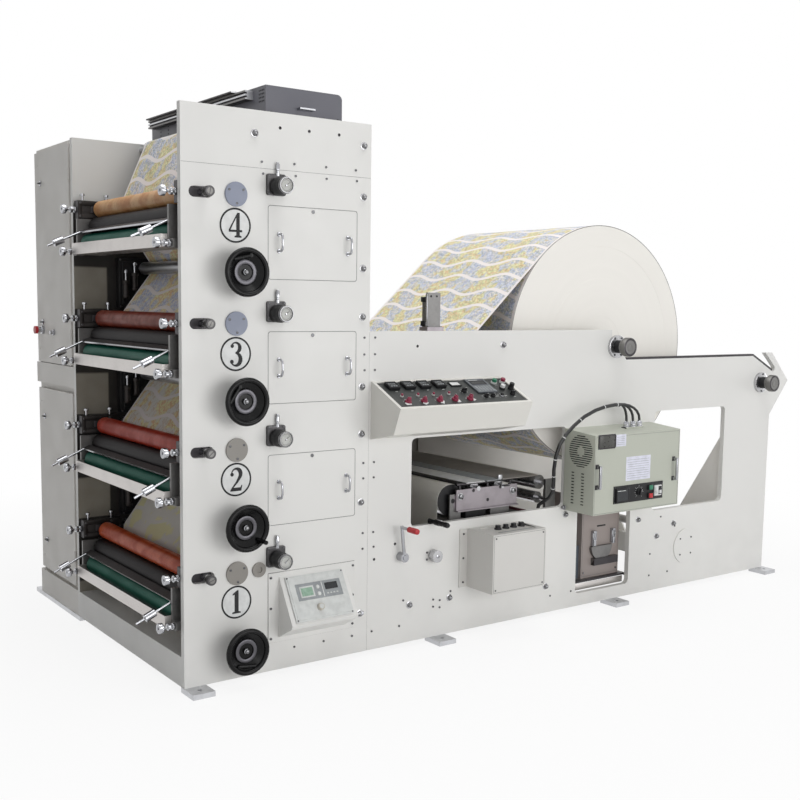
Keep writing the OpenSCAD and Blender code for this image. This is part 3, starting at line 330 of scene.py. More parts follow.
def printed_web(printed_at):
    """Pale paper printed in stages: blossoms and sprigs between wavy bands, more at each station."""
    paper = Finish("printed_paper", (236, 233, 226), 0.62, specular=0.3)
    place = paper.add("ShaderNodeUVMap", uv_map="run").outputs[0]
    along, across = paper.part("X", place), paper.part("Y", place)
    turn = paper.sum("MULTIPLY", across, 2 * pi / 0.38)
    swing = paper.sum("MULTIPLY", paper.sum("SINE", turn), 0.021)
    row = paper.sum("FRACT", paper.sum("DIVIDE", paper.sum("ADD", along, swing), 0.12))
    off_band = paper.sum("ABSOLUTE", paper.sum("SUBTRACT", row, 0.5))
    edge = paper.sum("ABSOLUTE", paper.sum("SUBTRACT", across, sum(ROLLER_Y) / 2000))
    clear = paper.sum("MULTIPLY", paper.span(off_band, 0.42, 0.405), paper.span(edge, 0.486, 0.483))
    first, second, third, fourth = (paper.span(along, run, run + 0.001) for run in printed_at)

    def product(*shares):
        total = shares[0]
        for share in shares[1:]:
            total = paper.sum("MULTIPLY", total, share)
        return total

    def lines(scale, width, shift):
        """Thin wandering strokes where a slow noise crosses its middle."""
        field = paper.noise(scale, 3, vector=paper.mapped(place, shift=(shift, shift, 0)))
        return paper.span(paper.sum("ABSOLUTE", paper.sum("SUBTRACT", field, 0.5)), width, width * 0.6)

    leaf = paper.noise(24, 5, vector=paper.mapped(place, shift=(3.7, 1.9, 0)))
    bloom = paper.sum("ADD", paper.span(paper.noise(11, 5, vector=place), 0.2, 0.8, -1.5, 1.5),
                      paper.sum("MULTIPLY", paper.sum("COSINE", turn), 0.36))
    warm = paper.span(bloom, -0.06, 0.2)
    cool = paper.sum("SUBTRACT", 1.0, warm)
    leaves = paper.span(leaf, 0.48, 0.53)
    cream = paper.blend(paper.span(paper.noise(5, 3), 0.3, 0.7), darker(paper.base, 0.96), paper.base)
    tone = cream
    for shares, colour in (((warm, clear, first, 0.85), (242, 237, 186)),
                           ((lines(34, 0.05, 0.0), warm, clear, second, 0.6), (224, 166, 128)),
                           ((lines(22, 0.03, 2.0), clear, second, 0.35), (196, 160, 122)),
                           ((leaves, cool, clear, third, 0.7), (214, 220, 236)),
                           ((lines(46, 0.05, 7.0), cool, clear, third, 0.6), (152, 164, 206)),
                           ((lines(64, 0.04, 9.0), warm, clear, fourth, 0.6), (204, 214, 160)),
                           ((lines(40, 0.028, 5.0), clear, fourth, 0.5), (120, 134, 104)),
                           ((paper.sum("SUBTRACT", 1.0, clear), second, 0.8), (247, 240, 239))):
        tone = paper.blend(product(*shares), tone, tint(*colour))
    paper.colour(tone)
    paper.relief(paper.noise(240, 3), 0.00003)
    return paper.material


def roll_side():
    """Wound edges of the paper: fine rings round the shaft, a little out of true."""
    wound = Finish("wound_paper_edge", (244, 241, 235), 0.7, specular=0.2)
    centre = at(ROLL_AT[0], 0, ROLL_AT[1])
    flat = wound.mapped(wound.place, (1, 0, 1), (-centre.x, 0, -centre.z))
    radius = wound.add("ShaderNodeVectorMath", {0: flat}, operation="LENGTH").outputs["Value"]
    rings = wound.add("ShaderNodeCombineXYZ", {0: radius}).outputs[0]
    coarse, fine = wound.noise(26, 3, vector=rings), wound.noise(420, 2, vector=rings)
    both = wound.sum("ADD", wound.span(coarse, 0.3, 0.7, 0, 0.7), wound.span(fine, 0.3, 0.7, 0, 0.3))
    wound.colour(wound.blend(both, darker(wound.base, 0.975), wound.base))
    wound.relief(both, 0.0003)
    return wound.material


def inner_wall():
    """Gear side's inner face in painted shade: grey patches near the front edge of each bay and black round
    the rollers, plain cream only at the top.
    """
    wall = Finish("inner_wall_painted_shade", (224, 223, 220), 0.5)
    height = wall.sum("ADD", wall.part("Z"), wall.span(wall.noise(2.4, 4), 0.3, 0.7, -0.004, 0.004))
    unshaded_top = wall.span(height, 2.05, 2.12)
    pitch = (STATIONS[1] - STATIONS[0]) / 1000
    bay = wall.sum("FRACT", wall.sum("DIVIDE", wall.sum("SUBTRACT", height, STATIONS[0] / 1000), pitch))
    upper = wall.sum("MULTIPLY", wall.span(bay, 0.085, 0.095), wall.span(bay, 0.49, 0.47))
    front = wall.span(wall.part("X"), at(170, 0, 0).x, at(162, 0, 0).x)
    drift = wall.span(wall.noise(6, 5), 0.3, 0.7)
    # painted shade: the grey stands for the wall in shade, the black for the deep shadow under each tray and
    # behind the front edge
    panel = wall.blend(drift, tint(138, 133, 122), tint(158, 153, 142))
    black = wall.blend(drift, tint(30, 28, 26), tint(44, 41, 38))
    painted_shade = wall.blend(wall.sum("MULTIPLY", upper, front), black, panel)
    # cream is left only at the top, where no shade is painted
    wall.colour(wall.blend(unshaded_top, painted_shade, wall.base))
    wall.relief(wall.noise(420, 2), ORANGE_PEEL)
    return wall.material


def frame_inside():
    """Inner face of the drive side's frame plate: a paler cream than the outer paint as painted light,
    darkened towards the tower as painted shade.
    """
    wall = Finish("frame_inner_painted_shade_and_light", (246, 244, 240), 0.45)
    # painted shade: the tone darkens towards the tower; the pale cream at the far end is painted light
    painted_shade_reach = wall.sum("ADD", wall.part("X"), wall.span(wall.noise(2.2, 4), 0.3, 0.7, -0.12, 0.12))
    share = wall.span(painted_shade_reach, at(1900, 0, 0).x, at(3200, 0, 0).x)
    wall.colour(wall.blend(share, tint(140, 135, 128), wall.base))
    wall.relief(wall.noise(420, 2), ORANGE_PEEL)
    return wall.material


CREAM = enamel("cream_enamel", (226, 225, 222))
CABINET = enamel("cabinet_enamel", (222, 219, 214), 0.45)
HOOD = enamel("hood_enamel", (92, 92, 100), 0.4)
TREATER = enamel("treater_enamel", (184, 187, 175), 0.45)
CONSOLE = enamel("console_enamel", (220, 218, 212), 0.42)
PALE_PLATE = enamel("pale_plate", (150, 140, 136), 0.4)
BLUE_GREY = enamel("cover_blue_grey", (132, 138, 156), 0.4)
TAUPE = enamel("cover_taupe", (140, 136, 130), 0.42)
SLATE = enamel("panel_slate", (84, 92, 100), 0.45)
PANEL_DARK = enamel("console_face", (40, 43, 42), 0.4)
# painted shadow: the dark far bar of the window table
TABLE_PAINTED_SHADOW = enamel("table_painted_shadow", (134, 129, 124), 0.45)
BOX_ENAMEL = enamel("control_box_enamel", (210, 208, 204), 0.42)
KNOB_STEEL = metal("knob_steel", (78, 77, 78), 0.42)
CHUCK_FACE = metal("chuck_face", (118, 117, 115), 0.45)
MAUVE_STEEL = metal("bracket_plate_steel", (150, 144, 148), 0.42, (1, 1, 30), 40)
STEEL = metal("ground_steel", (190, 190, 192), 0.26, (60, 1, 1), 30)
DARK_STEEL = metal("blackened_steel", (72, 70, 72), 0.42)
STAINLESS = metal("brushed_stainless", (194, 190, 187), 0.36, (30, 1, 30), 30, stain=0.93)
CHROME = metal("polished_chrome", (172, 173, 177), 0.15, groove=0.00001)
ALUMINIUM = metal("aluminium", (196, 197, 200), 0.36, (1, 1, 40), 30)
CAST = metal("cast_grey", (124, 123, 122), 0.48, groove=0.0001)
ANILOX = metal("engraved_roller", (24, 21, 22), 0.5, scale=500, groove=0.00006)
BLACK = moulded("black_phenolic", (9, 9, 10), 0.24, 0.00001, specular=0.2)
MATT_BLACK = moulded("black_plastic", (25, 25, 27), 0.42, specular=0.3)
PRINT_BLACK = moulded("printed_black", (24, 24, 26), 0.7)
GLASS = moulded("dark_glass", (30, 34, 38), 0.14, 0.00001)
SMOKED = moulded("smoked_window", (62, 62, 58), 0.3)
RED = moulded("red_plastic", (186, 34, 42), 0.34)
GREEN = moulded("green_plastic", (44, 122, 92), 0.36)
WHITE = moulded("white_plastic", (226, 227, 226), 0.35)
PANEL_GREY = moulded("panel_grey", (150, 154, 156), 0.45)
SOFT_WHITE = moulded("light_panel", (210, 212, 210), 0.4)
BEIGE = moulded("beige_knob", (196, 190, 178), 0.4)
CABLE = moulded("cable_sheath", (30, 30, 31), 0.34)
KEYPAD = moulded("keypad_grey", (84, 88, 94), 0.4)
LCD = moulded("lcd_green", (146, 176, 156), 0.25, 0.00001)
GREEN_RUBBER = sleeve("fountain_rubber", (4, 92, 74), (3, 66, 54), 0.5, 9, 0.7, stretch=(1, 0.3, 1))
PLATE_RED = sleeve("printing_plate", (168, 44, 16), (120, 30, 12), 0.4, 12, 0.6, coat=0.03)
PLATE_RUST = sleeve("printing_plate_rust", (190, 82, 38), (150, 50, 22), 0.36, 14, 0.7, coat=0.03)
PLATE_DEEP = sleeve("printing_plate_deep", (128, 44, 18), (84, 26, 14), 0.4, 14, 0.7, coat=0.03)
PLATE_TAN = sleeve("printing_plate_pale", (206, 160, 108), (176, 116, 72), 0.4, 14, 0.7, coat=0.03)
DARK_RED = sleeve("dark_red_sleeve", (84, 26, 38), (60, 20, 28), 0.4, 20, 0.6)
CRIMSON = moulded("crimson_plastic", (140, 36, 66), 0.34)
BRUSHED = metal("turned_hub_face", (92, 91, 95), 0.36, scale=200)
SEAM = moulded("joint_line", (120, 120, 120), 0.7)
INNER_WALL = inner_wall()
FRAME_INSIDE = frame_inside()
BOLT = metal("bolt_chrome", (126, 126, 128), 0.13, groove=0.00001)
SCREW = metal("screw_head", (98, 98, 100), 0.3)
SLIDE_CAST = metal("slide_casting", (62, 59, 58), 0.5, groove=0.0001)
NOTICE = moulded("notice_sheet", (226, 227, 240), 0.6)
GAUGE_DIAL = moulded("gauge_dial", (196, 196, 192), 0.4)
INKED_STEEL = metal("inked_steel", (56, 53, 53), 0.45, (1, 30, 1), 60, groove=0.0001)
ROLL_EDGE = roll_side()
ROLL_RIM = moulded("roll_outer_layers", (132, 130, 126), 0.7)
CARDBOARD = moulded("cardboard_core", (150, 112, 78), 0.8, 0.0002)


# ---------- CAD nodes ----------

def repaint(nodes, rest, *rules):
    """Gives each face of the CAD nodes the finish of the first rule whose test it meets, or else the rest's.

    A test gets the face's centre in press millimetres and its normal."""
    for node in nodes.split():
        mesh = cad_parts[node].data
        mesh.materials.clear()
        for _, material in rules:
            mesh.materials.append(material)
        mesh.materials.append(rest)
        for face in mesh.polygons if rules else ():
            centre = press_mm(face.center)
            met = (i for i, (test, _) in enumerate(rules) if test(centre, face.normal))
            face.material_index = next(met, len(rules))


def station_height(c):
    """Height over the nearest station's axis."""
    return min((c.z - z for z in STATIONS), key=abs)


def paint_nodes():
    repaint("operator_tower_plate operator_frame_plate base_frame access_doors tension_box", CREAM)
    repaint("electrical_cabinet cabinet_door_upper cabinet_door_lower", CABINET)
    repaint("adjuster_knobs door_handles cap_nuts", CHROME)
    repaint("impression_cylinders roll_shaft", STEEL)
    repaint("feet guide_rollers", ALUMINIUM)
    # The gussets take the frame plate's inner finish: its pale cream at their end is painted light.
    repaint("post_gussets", FRAME_INSIDE)
    repaint("ink_trays", STAINLESS)
    repaint("console_controls", MATT_BLACK)
    repaint("treater_cables", CABLE)
    repaint("rail_strips", DARK_STEEL)
    # The inner faces of both drive side plates carry painted shade; the frame plate's finish also carries
    # painted light at its far end.
    for node, finish in (("drive_frame_plate", FRAME_INSIDE), ("drive_tower_plate", INNER_WALL)):
        repaint(node, CREAM, (lambda c, n: n.y < -0.9 and c.y < DRIVE_INNER + 1, finish))
    repaint("dryer_hood", HOOD, (lambda c, n: c.y < 59 and c.z < 2460 and abs(c.x - 603) < 45, CHROME))
    # The rail's front faces and a narrow strip facing -x are aluminium; its other faces are painted dark as
    # painted shade of the same profile.
    repaint("hood_rail", DARK_STEEL,
            (lambda c, n: n.y < -0.9 or (n.x < -0.9 and 2487 < c.z < 2495), ALUMINIUM),
            (lambda c, n: c.z < 2509.5 and n.x < -0.9 and c.x < 380, CAST))
    repaint("doctor_blades", CHROME,
            (lambda c, n: abs(n.x) < 0.5 and n.z > 0.85 and 105 < c.y < 1140, INKED_STEEL))
    repaint("roller_brackets", CAST, (lambda c, n: -45 < station_height(c) < 45, DARK_STEEL),
            (lambda c, n: station_height(c) > 0, CHROME))
    for n, (z, sleeve_of) in enumerate(zip(STATIONS, (PLATE_RUST, PLATE_RED, PLATE_DEEP, PLATE_TAN)), 1):
        repaint(f"plate_cylinder_{n}", sleeve_of, (lambda c, n: c.y < 0, CHUCK_FACE),
                (lambda c, n: c.y < 110 or c.y > 1130, CHROME))
        repaint(f"anilox_roller_{n}", ANILOX)
        repaint(f"fountain_roller_{n}", GREEN_RUBBER, (lambda c, n: c.y < 119 or c.y > 1121, STEEL))

        def from_axis(c, axis_z=z - WHEEL_DROP):
            return hypot(c.x - WHEEL_X, c.z - axis_z)

        repaint(f"handwheel_{n}", BLACK, (lambda c, n: from_axis(c) < 11.9 and c.y < -87, CHROME),
                (lambda c, n: 33 < from_axis(c) < 50.5 and -87 < c.y < -84, BRUSHED),
                (lambda c, n: c.y > -60, STEEL))
    repaint("cover_discs", TAUPE, (lambda c, n: c.x > 1000, CREAM), (lambda c, n: c.z > 1300, BLUE_GREY))
    repaint("register_gauges", MATT_BLACK, (lambda c, n: c.y > -14.5, ALUMINIUM),
            (lambda c, n: c.y > -88, DARK_STEEL))
    repaint("control_console", CONSOLE,
            (lambda c, n: n.z > 0.5 and -222 < c.y < -8 and 930 < c.x < 1690
             and abs((PANEL.inverted() @ at(*c)).z) < 0.002, PANEL_DARK))
    repaint("treater_box", TREATER, (lambda c, n: c.y < -216.5 and c.z < 700, MATT_BLACK),
            (lambda c, n: n.x < -0.9 and c.x > 2148.5, MATT_BLACK),
            (lambda c, n: c.y < -216.5 and c.z > 880, SLATE))
    repaint("treater_fittings", CHROME, (lambda c, n: 2290 < c.x < 2410 and c.z < 740, SLATE),
            (lambda c, n: 2450 < c.x < 2500 and c.z < 700, MATT_BLACK),
            (lambda c, n: 2540 < c.x < 2590 and 650 < c.z < 700, GREEN),
            (lambda c, n: 2540 < c.x < 2590 and c.z < 650, RED),
            (lambda c, n: 2590 < c.x < 2655 and c.z < 700, WHITE))
    repaint("control_box", BOX_ENAMEL,
            (lambda c, n: 524.5 < c.z < 545 and abs(c.y + 78) < 18 and 1600 < c.x < 1820
             and not (n.z > 0.9 and c.z < 525), MATT_BLACK))
    repaint("window_rollers", STEEL, (lambda c, n: c.x < 1570 and (c.y < 121 or c.y > 1119), MATT_BLACK),
            (lambda c, n: abs(c.x - 1981) < 51 and c.z < 556, DARK_RED))
    repaint("window_bracket", CAST, (lambda c, n: c.z > 597.5 and 1490 < c.x < 1900, MAUVE_STEEL),
            (lambda c, n: 1540 < c.x < 1700 and c.z > 560.5, MATT_BLACK))
    repaint("sensor_bracket", CAST, (lambda c, n: c.z < 1512.5, MAUVE_STEEL))
    repaint("chuck_knobs", CAST, (lambda c, n: c.x < 1330 and c.z > 560, MATT_BLACK),
            (lambda c, n: c.x < 1330, STEEL), (lambda c, n: c.y > -16.5, STEEL),
            (lambda c, n: c.y > -61, MATT_BLACK))
    repaint("crank_lever", CHROME, (lambda c, n: c.y < -89.5, RED))
    repaint("emergency_stop", CHROME, (lambda c, n: c.y > 1600 and c.x < -31, RED))
    repaint("latch_box", PALE_PLATE, (lambda c, n: c.y < 69.5 and c.z > 317, CHROME),
            (lambda c, n: c.y < 55 and c.z < 247, DARK_STEEL), (lambda c, n: c.y < 69.5, CAST),
            (lambda c, n: c.x < 2363 and 141 < c.z < 321, SLATE))


# ---------- modelling by hand ----------

def take(*pieces):
    bpy.ops.object.select_all(action="DESELECT")
    for piece in pieces:
        piece.select_set(True)
    bpy.context.view_layer.objects.active = pieces[0]


def edit(piece, kind="FACE"):
    take(piece)
    bpy.ops.object.mode_set(mode="EDIT")
    bpy.ops.mesh.select_mode(type=kind)
    bpy.ops.mesh.select_all(action="DESELECT")


def pick_faces(piece, wanted):
    mesh = bmesh.from_edit_mesh(piece.data)
    for face in mesh.faces:
        face.select_set(bool(wanted(face.calc_center_median(), face.normal)))
    bmesh.update_edit_mesh(piece.data)


def leave():
    bpy.ops.object.mode_set(mode="OBJECT")


def leave_closed(merge=True):
    """Merges what coincides, if asked, turns every face outwards and leaves edit mode."""
    bpy.ops.mesh.select_all(action="SELECT")
    if merge:
        bpy.ops.mesh.remove_doubles(threshold=0.000001)
    bpy.ops.mesh.normals_make_consistent(inside=False)
    leave()


def apply_place():
    bpy.ops.object.transform_apply(location=True, rotation=True, scale=True)


def settle(piece, name, body="root", replaces=()):
    """Applies a finished piece's place, hangs it on its body and hides the CAD nodes it stands for."""
    take(piece)
    apply_place()
    bpy.ops.object.shade_smooth_by_angle(angle=SMOOTH_BELOW)
    piece.name = name
    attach(piece, body)
    if replaces:
        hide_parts(*replaces)


# ---------- shapes that the fittings are made from, in millimetres ----------

def linked(name, mesh):
    piece = bpy.data.objects.new(name, mesh)
    bpy.context.collection.objects.link(piece)
    return piece


def coat(piece, finish):
    """Gives a piece its finish, or a tuple of them in the order of their face groups."""
    for material in finish if isinstance(finish, tuple) else (finish,):
        piece.data.materials.append(material)
    return piece


def turned(finish, profile, steps=40, ridges=None):
    """Spins a profile of (radius, height) points. ridges: radius, low, high and depth of a knurl."""
    mesh = bpy.data.meshes.new("turned")
    edges = [(i, i + 1) for i in range(len(profile) - 1)]
    if profile[0][0] > 0 and profile[-1][0] > 0:
        edges.append((len(profile) - 1, 0))
    mesh.from_pydata([(r / 1000, 0, z / 1000) for r, z in profile], edges, [])
    piece = linked("turned", mesh)
    edit(piece, "VERT")
    bpy.ops.mesh.select_all(action="SELECT")
    bpy.ops.mesh.spin(steps=steps, angle=2 * pi, center=(0, 0, 0), axis=(0, 0, 1))
    leave_closed()
    if ridges:
        radius, low, high, depth = (value / 1000 for value in ridges)
        for vertex in mesh.vertices:
            slot = round(atan2(vertex.co.y, vertex.co.x) / (2 * pi / steps))
            if slot % 2 and vertex.co.xy.length > radius and low <= vertex.co.z <= high:
                vertex.co.xy *= 1 - depth / vertex.co.xy.length
    return coat(piece, finish)


def block(finish, x, y, z, bevel=0.8):
    """A cube shaped to its size with its edges eased."""
    bpy.ops.object.select_all(action="DESELECT")
    centre = Vector((sum(x), sum(y), sum(z))) / 2000
    bpy.ops.mesh.primitive_cube_add(size=1, location=centre,
                                    scale=((x[1] - x[0]) / 1000, (y[1] - y[0]) / 1000, (z[1] - z[0]) / 1000))
    piece = bpy.context.object
    apply_place()
    if bevel:
        ease(piece, bevel)
    return coat(piece, finish)


def prism(sides, radius, low, high):
    """A cylinder, or a bar with flats, from low to high."""
    bpy.ops.mesh.primitive_cylinder_add(vertices=sides, radius=radius / 1000, depth=(high - low) / 1000,
                                        location=(0, 0, (low + high) / 2000))
    apply_place()
    return bpy.context.object


def ease(piece, width, segments=2):
    take(piece)
    edges = piece.modifiers.new("eased", "BEVEL")
    edges.width, edges.segments, edges.limit_method, edges.angle_limit = width / 1000, segments, "ANGLE", 0.7
    bpy.ops.object.modifier_apply(modifier=edges.name)
    return piece


def sink(piece, wanted, *steps, material=None):
    """Insets the wanted faces by each step's margin and moves them out by its depth."""
    edit(piece)
    pick_faces(piece, wanted)
    for margin, depth in steps:
        bpy.ops.mesh.inset(thickness=margin / 1000, depth=depth / 1000)
    if material is not None:
        piece.active_material_index = material
        bpy.ops.object.material_slot_assign()
    leave()
    return piece


def top_of(z):
    return lambda c, n: n.z > 0.99 and c.z > z / 1000 - 0.00005


def flat_shape(finish, outlines, thickness, base=0.0):
    """A flat plate cut to closed outlines, later ones being holes, standing on z = base."""
    curve = bpy.data.curves.new("flat", "CURVE")
    curve.dimensions, curve.fill_mode, curve.extrude = "2D", "BOTH", thickness / 2000
    for outline in outlines:
        spline = curve.splines.new("POLY")
        spline.points.add(len(outline) - 1)
        spline.use_cyclic_u = True
        for point, (x, y) in zip(spline.points, outline):
            point.co = (x / 1000, y / 1000, 0, 1)
    piece = linked("flat", curve)
    take(piece)
    bpy.ops.object.convert(target="MESH")
    piece = bpy.context.object
    piece.data.transform(Matrix.Translation((0, 0, (base + thickness / 2) / 1000)))
    edit(piece)
    leave_closed()
    return coat(piece, finish)


def ring(radius, count, centre=(0, 0)):
    return [(centre[0] + radius * cos(2 * pi * k / count), centre[1] + radius * sin(2 * pi * k / count))
            for k in range(count)]


def round_rect(x, y, corner, count=5):
    points = []
    for cx, cy, start in ((x[1] - corner, y[1] - corner, 0), (x[0] + corner, y[1] - corner, 90),
                          (x[0] + corner, y[0] + corner, 180), (x[1] - corner, y[0] + corner, 270)):
        for k in range(count + 1):
            angle = radians(start + 90 * k / count)
            points.append((cx + corner * cos(angle), cy + corner * sin(angle)))
    return points


def bent_bar(points, radius, corner=8, sides=3):
    """A round bar bent along points, its corners turned by a radius."""
    points = [Vector(p) for p in points]
    path = [points[0]]
    for before, turn, after in zip(points, points[1:], points[2:]):
        first = turn + (before - turn).normalized() * corner
        last = turn + (after - turn).normalized() * corner
        path += [first * (1 - t) ** 2 + turn * 2 * t * (1 - t) + last * t * t
                 for t in (k / 6 for k in range(7))]
    path.append(points[-1])
    curve = bpy.data.curves.new("bar", "CURVE")
    curve.dimensions, curve.use_fill_caps = "3D", True
    curve.bevel_depth, curve.bevel_resolution = radius / 1000, sides
    spline = curve.splines.new("POLY")
    spline.points.add(len(path) - 1)
    for point, place in zip(spline.points, path):
        point.co = (*(place / 1000), 1)
    piece = linked("bar", curve)
    take(piece)
    bpy.ops.object.convert(target="MESH")
    return bpy.context.object


def copies(model, *places):
    """Copies a modelled fitting to each place, every copy with its own mesh."""
    made = []
    for place in places:
        mesh = model.data.copy()
        mesh.transform(place @ model.matrix_world)
        made.append(linked(model.name, mesh))
    bpy.data.objects.remove(model)
    return made


def put(parts, model, *places):
    """Adds copies of a model to a fitting's parts. Without a place it stands where it was drawn."""
    parts += copies(model, *(places or [AS_DRAWN]))


def grouped(*parts):
    """Joins the parts of one fitting while it is still at its own origin."""
    take(*parts)
    apply_place()
    if len(parts) > 1:
        bpy.ops.object.join()
    return bpy.context.object


def fit(name, parts, body="root", replaces=()):
    settle(grouped(*parts), name, body, replaces)


def moved(piece, matrix):
    piece.data.transform(matrix)
    return piece


def put_flat(parts, model, height, places):
    """Adds copies of a model at one height over a panel."""
    put(parts, model, *[shift(u, v, height) for u, v in places])


def joint_line(x, z, corner, width=1.4, thickness=0.4):
    """The dark gap round a door or lid, drawn in from its outer edge."""
    inner = [(low + width, high - width) for low, high in (x, z)]
    return flat_shape(SEAM, [round_rect(x, z, corner), round_rect(*inner, corner - 1)], thickness)


def plugged_hole(finish, radius, rim, height, steps, floor=0.1):
    return turned(finish, [(0, floor), (radius, floor), (rim, height), (rim, 0), (0, 0)], steps)


# ---------- screws, nuts and bolts ----------

def cap_screw(radius, height, socket_radius):
    """Socket head screw: turned head with a six-sided socket sunk in it."""
    screw = prism(24, radius, 0, height)
    sink(screw, top_of(height), (radius * 0.14, radius * 0.07))
    edit(screw)
    pick_faces(screw, lambda c, n: n.z > 0.99 and c.z > height / 1000)
    bpy.ops.mesh.inset(thickness=(radius * 0.86 - socket_radius) / 1000, depth=0)
    bpy.ops.mesh.extrude_region_move(TRANSFORM_OT_translate={"value": (0, 0, -height * 0.0006)})
    leave()
    for vertex in screw.data.vertices:
        reach = vertex.co.xy.length
        if reach < (socket_radius + 0.3) / 1000:
            angle = atan2(vertex.co.y, vertex.co.x) % (pi / 3) - pi / 6
            vertex.co.xy *= 0.88 / cos(angle)
    return coat(screw, SCREW)


def hex_head(radius, height, base=0.0):
    return coat(ease(prism(6, radius, base, base + height), radius * 0.07), BOLT)


def acorn_nut(size=14):
    """Domed nut on a washer, with the six flats of its skirt."""
    washer = turned(STEEL, [(0, 0), (size * 1.25, 0), (size * 1.25, 1.6), (size * 1.15, 2.4), (0, 2.4)], 32)
    skirt = ease(prism(6, size, 2.4, 9.9), 0.9)
    dome = [(size * 0.84 * cos(radians(a)), 9.6 + size * 0.72 * sin(radians(a))) for a in range(0, 91, 15)]
    return grouped(coat(skirt, BOLT), washer, turned(BOLT, [(0, 9)] + dome[:-1] + [(0, dome[-1][1])], 32))


def fasteners():
    nuts = [(870, z) for z in (2304, 1772, 1247, 722, 2083, 1558, 1033, 205)]
    nuts += [(330, 2306), (1394, 200), (1152, 201), (2034, 163), (2728, 441), (3025, 390), (2884, 331),
             (2164, 530), (1706, 1424)]
    fit("acorn_nuts", copies(acorn_nut(), *[spot(x, 0, z, turn=x % 50) for x, z in nuts]),
        replaces=("cap_nuts",))
    far = [(1000, 1420), (2760, 420), (3560, 1160), (2000, 300), (2884, 331), (1152, 201), (3025, 390)]
    fit("drive_side_nuts",
        copies(acorn_nut(), *[spot(x, DRIVE_OUTER, z, BACK, x % 40) for x, z in far]))
    small = [(363, 2194), (369, 2146), (518, 2197), (525, 2148), (675, 2197), (678, 2148), (828, 2196),
             (834, 2150), (882, 578), (940, 576), (882, 505), (943, 507), (882, 1391), (884, 1320),
             (882, 1466), (940, 1466), (940, 1391), (940, 1320), (882, 900), (940, 900), (882, 830),
             (940, 830), (1116, 228), (1401, 231), (1253, 440), (1253, 406), (1295, 205), (1335, 196),
             (1295, 170), (1335, 161), (2917, 438), (2837, 233), (3040, 372), (2989, 113), (2835, 110),
             (524, 109), (676, 108), (828, 106), (937, 109), (1094, 108), (2070, 107), (2221, 110),
             (402, 436), (407, 166), (829, 436), (829, 166)]
    fit("socket_screws",
        copies(cap_screw(5, 3.2, 2.6), *[spot(x, 0, z, turn=(x * 7) % 60) for x, z in small]))
    dark = [(450, 2339), (591, 2339), (741, 2339), (947, 447), (1180, 1424), (1065, 505), (1112, 520)]
    fit("plugged_holes",
        copies(plugged_hole(DARK_STEEL, 5.4, 6.6, 0.8, 24), *[spot(x, 0, z) for x, z in dark]))


# ---------- station numbers ----------

def brush(points):
    """Outline of a stroke given as x, y and width points."""
    left, right = [], []
    for i, (x, y, width) in enumerate(points):
        before, after = points[max(i - 1, 0)], points[min(i + 1, len(points) - 1)]
        dx, dy = after[0] - before[0], after[1] - before[1]
        length = hypot(dx, dy)
        left.append((x - dy / length * width / 2, y + dx / length * width / 2))
        right.append((x + dy / length * width / 2, y - dx / length * width / 2))
    return left + right[::-1]


def arc(cx, cy, rx, ry, start, end, widths):
    points, steps = [], 14
    for k in range(steps + 1):
        t = k / steps
        angle = radians(start + (end - start) * t)
        span = t * (len(widths) - 1)
        i = min(int(span), len(widths) - 2)
        width = widths[i] + (widths[i + 1] - widths[i]) * (span - i)
        points.append((cx + rx * cos(angle), cy + ry * sin(angle), width))
    return points


def numeral(n):
    """A bold figure with feet, 100 high and about 60 wide, as flat outlines."""
    if n == 1:
        return [[[(-20, 0), (20, 0), (20, 6), (10, 9), (10, 100), (3, 100), (-18, 86), (-18, 80), (-9, 82),
                  (-9, 9), (-20, 6)]]]
    if n == 2:
        bow = brush(arc(0, 72, 21, 23, 170, -30, (5, 6, 9, 17, 19, 15)) +
                    [(4, 38, 10), (-12, 20, 7), (-23, 7, 5)])
        foot = [(-27, 0), (24, 0), (29, 24), (24, 24), (20, 15), (-18, 15), (-27, 5)]
        return [[bow], [foot], [ring(8, 20, (-19, 71))]]
    if n == 3:
        upper = brush(arc(-1, 75, 20, 21, 150, -90, (5, 6, 10, 17, 15, 5)))
        lower = brush(arc(-1, 27, 23, 26, 90, -150, (5, 15, 19, 16, 7, 5)))
        return [[upper], [lower], [ring(8, 20, (-16, 82))], [ring(8.5, 20, (-18, 17))]]
    stem = [(4, 9), (-4, 6), (-4, 0), (28, 0), (28, 6), (20, 9), (20, 22), (31, 22), (31, 31), (20, 31),
            (20, 100), (9, 100), (-30, 31), (-30, 22), (4, 22)]
    return [[stem, [(4, 31), (4, 80), (-22, 31)]]]


def station_numbers():
    parts = []
    for n, z in enumerate(STATIONS, 1):
        place = spot(241, -0.05, z - 125)
        put(parts, flat_shape(PRINT_BLACK, [ring(71, 64), ring(63.5, 64)], 0.8), place)
        put(parts, flat_shape(WHITE, [ring(64, 64)], 0.4), place)
        for layer, outlines in enumerate(numeral(n)):
            put(parts, flat_shape(PRINT_BLACK, outlines, 0.8 + 0.05 * layer), place @ shift(0, -49, 0))
    fit("station_numbers", parts)


def plate_seams():
    """Joint across the head plate, butt joint to the frame plate, gaps and locks of the access doors."""
    seams = [[(2, 2167), (908, 2167), (908, 2168.2), (2, 2168.2)],
             [(909.6, 24), (910.1, 24), (910.1, 1492), (909.6, 1492)]]
    parts = [flat_shape(SEAM, [outline], 0.3) for outline in seams]
    for z in STATIONS[1:]:
        parts.append(joint_line((392.2, 838.8), (z - 340.8, z - 33.2), 12, 2.1, 0.3))
        lock = turned(SCREW, [(0, 0), (8, 0), (8, 1.5), (7, 2.2), (2.4, 2.2), (2.2, 1.2), (0, 1.2)], 24)
        put(parts, lock, shift(612, z - 50, 0))
    fit("plate_seams", copies(grouped(*parts), spot(0, -0.05, 0)))


# ---------- on the tower ----------

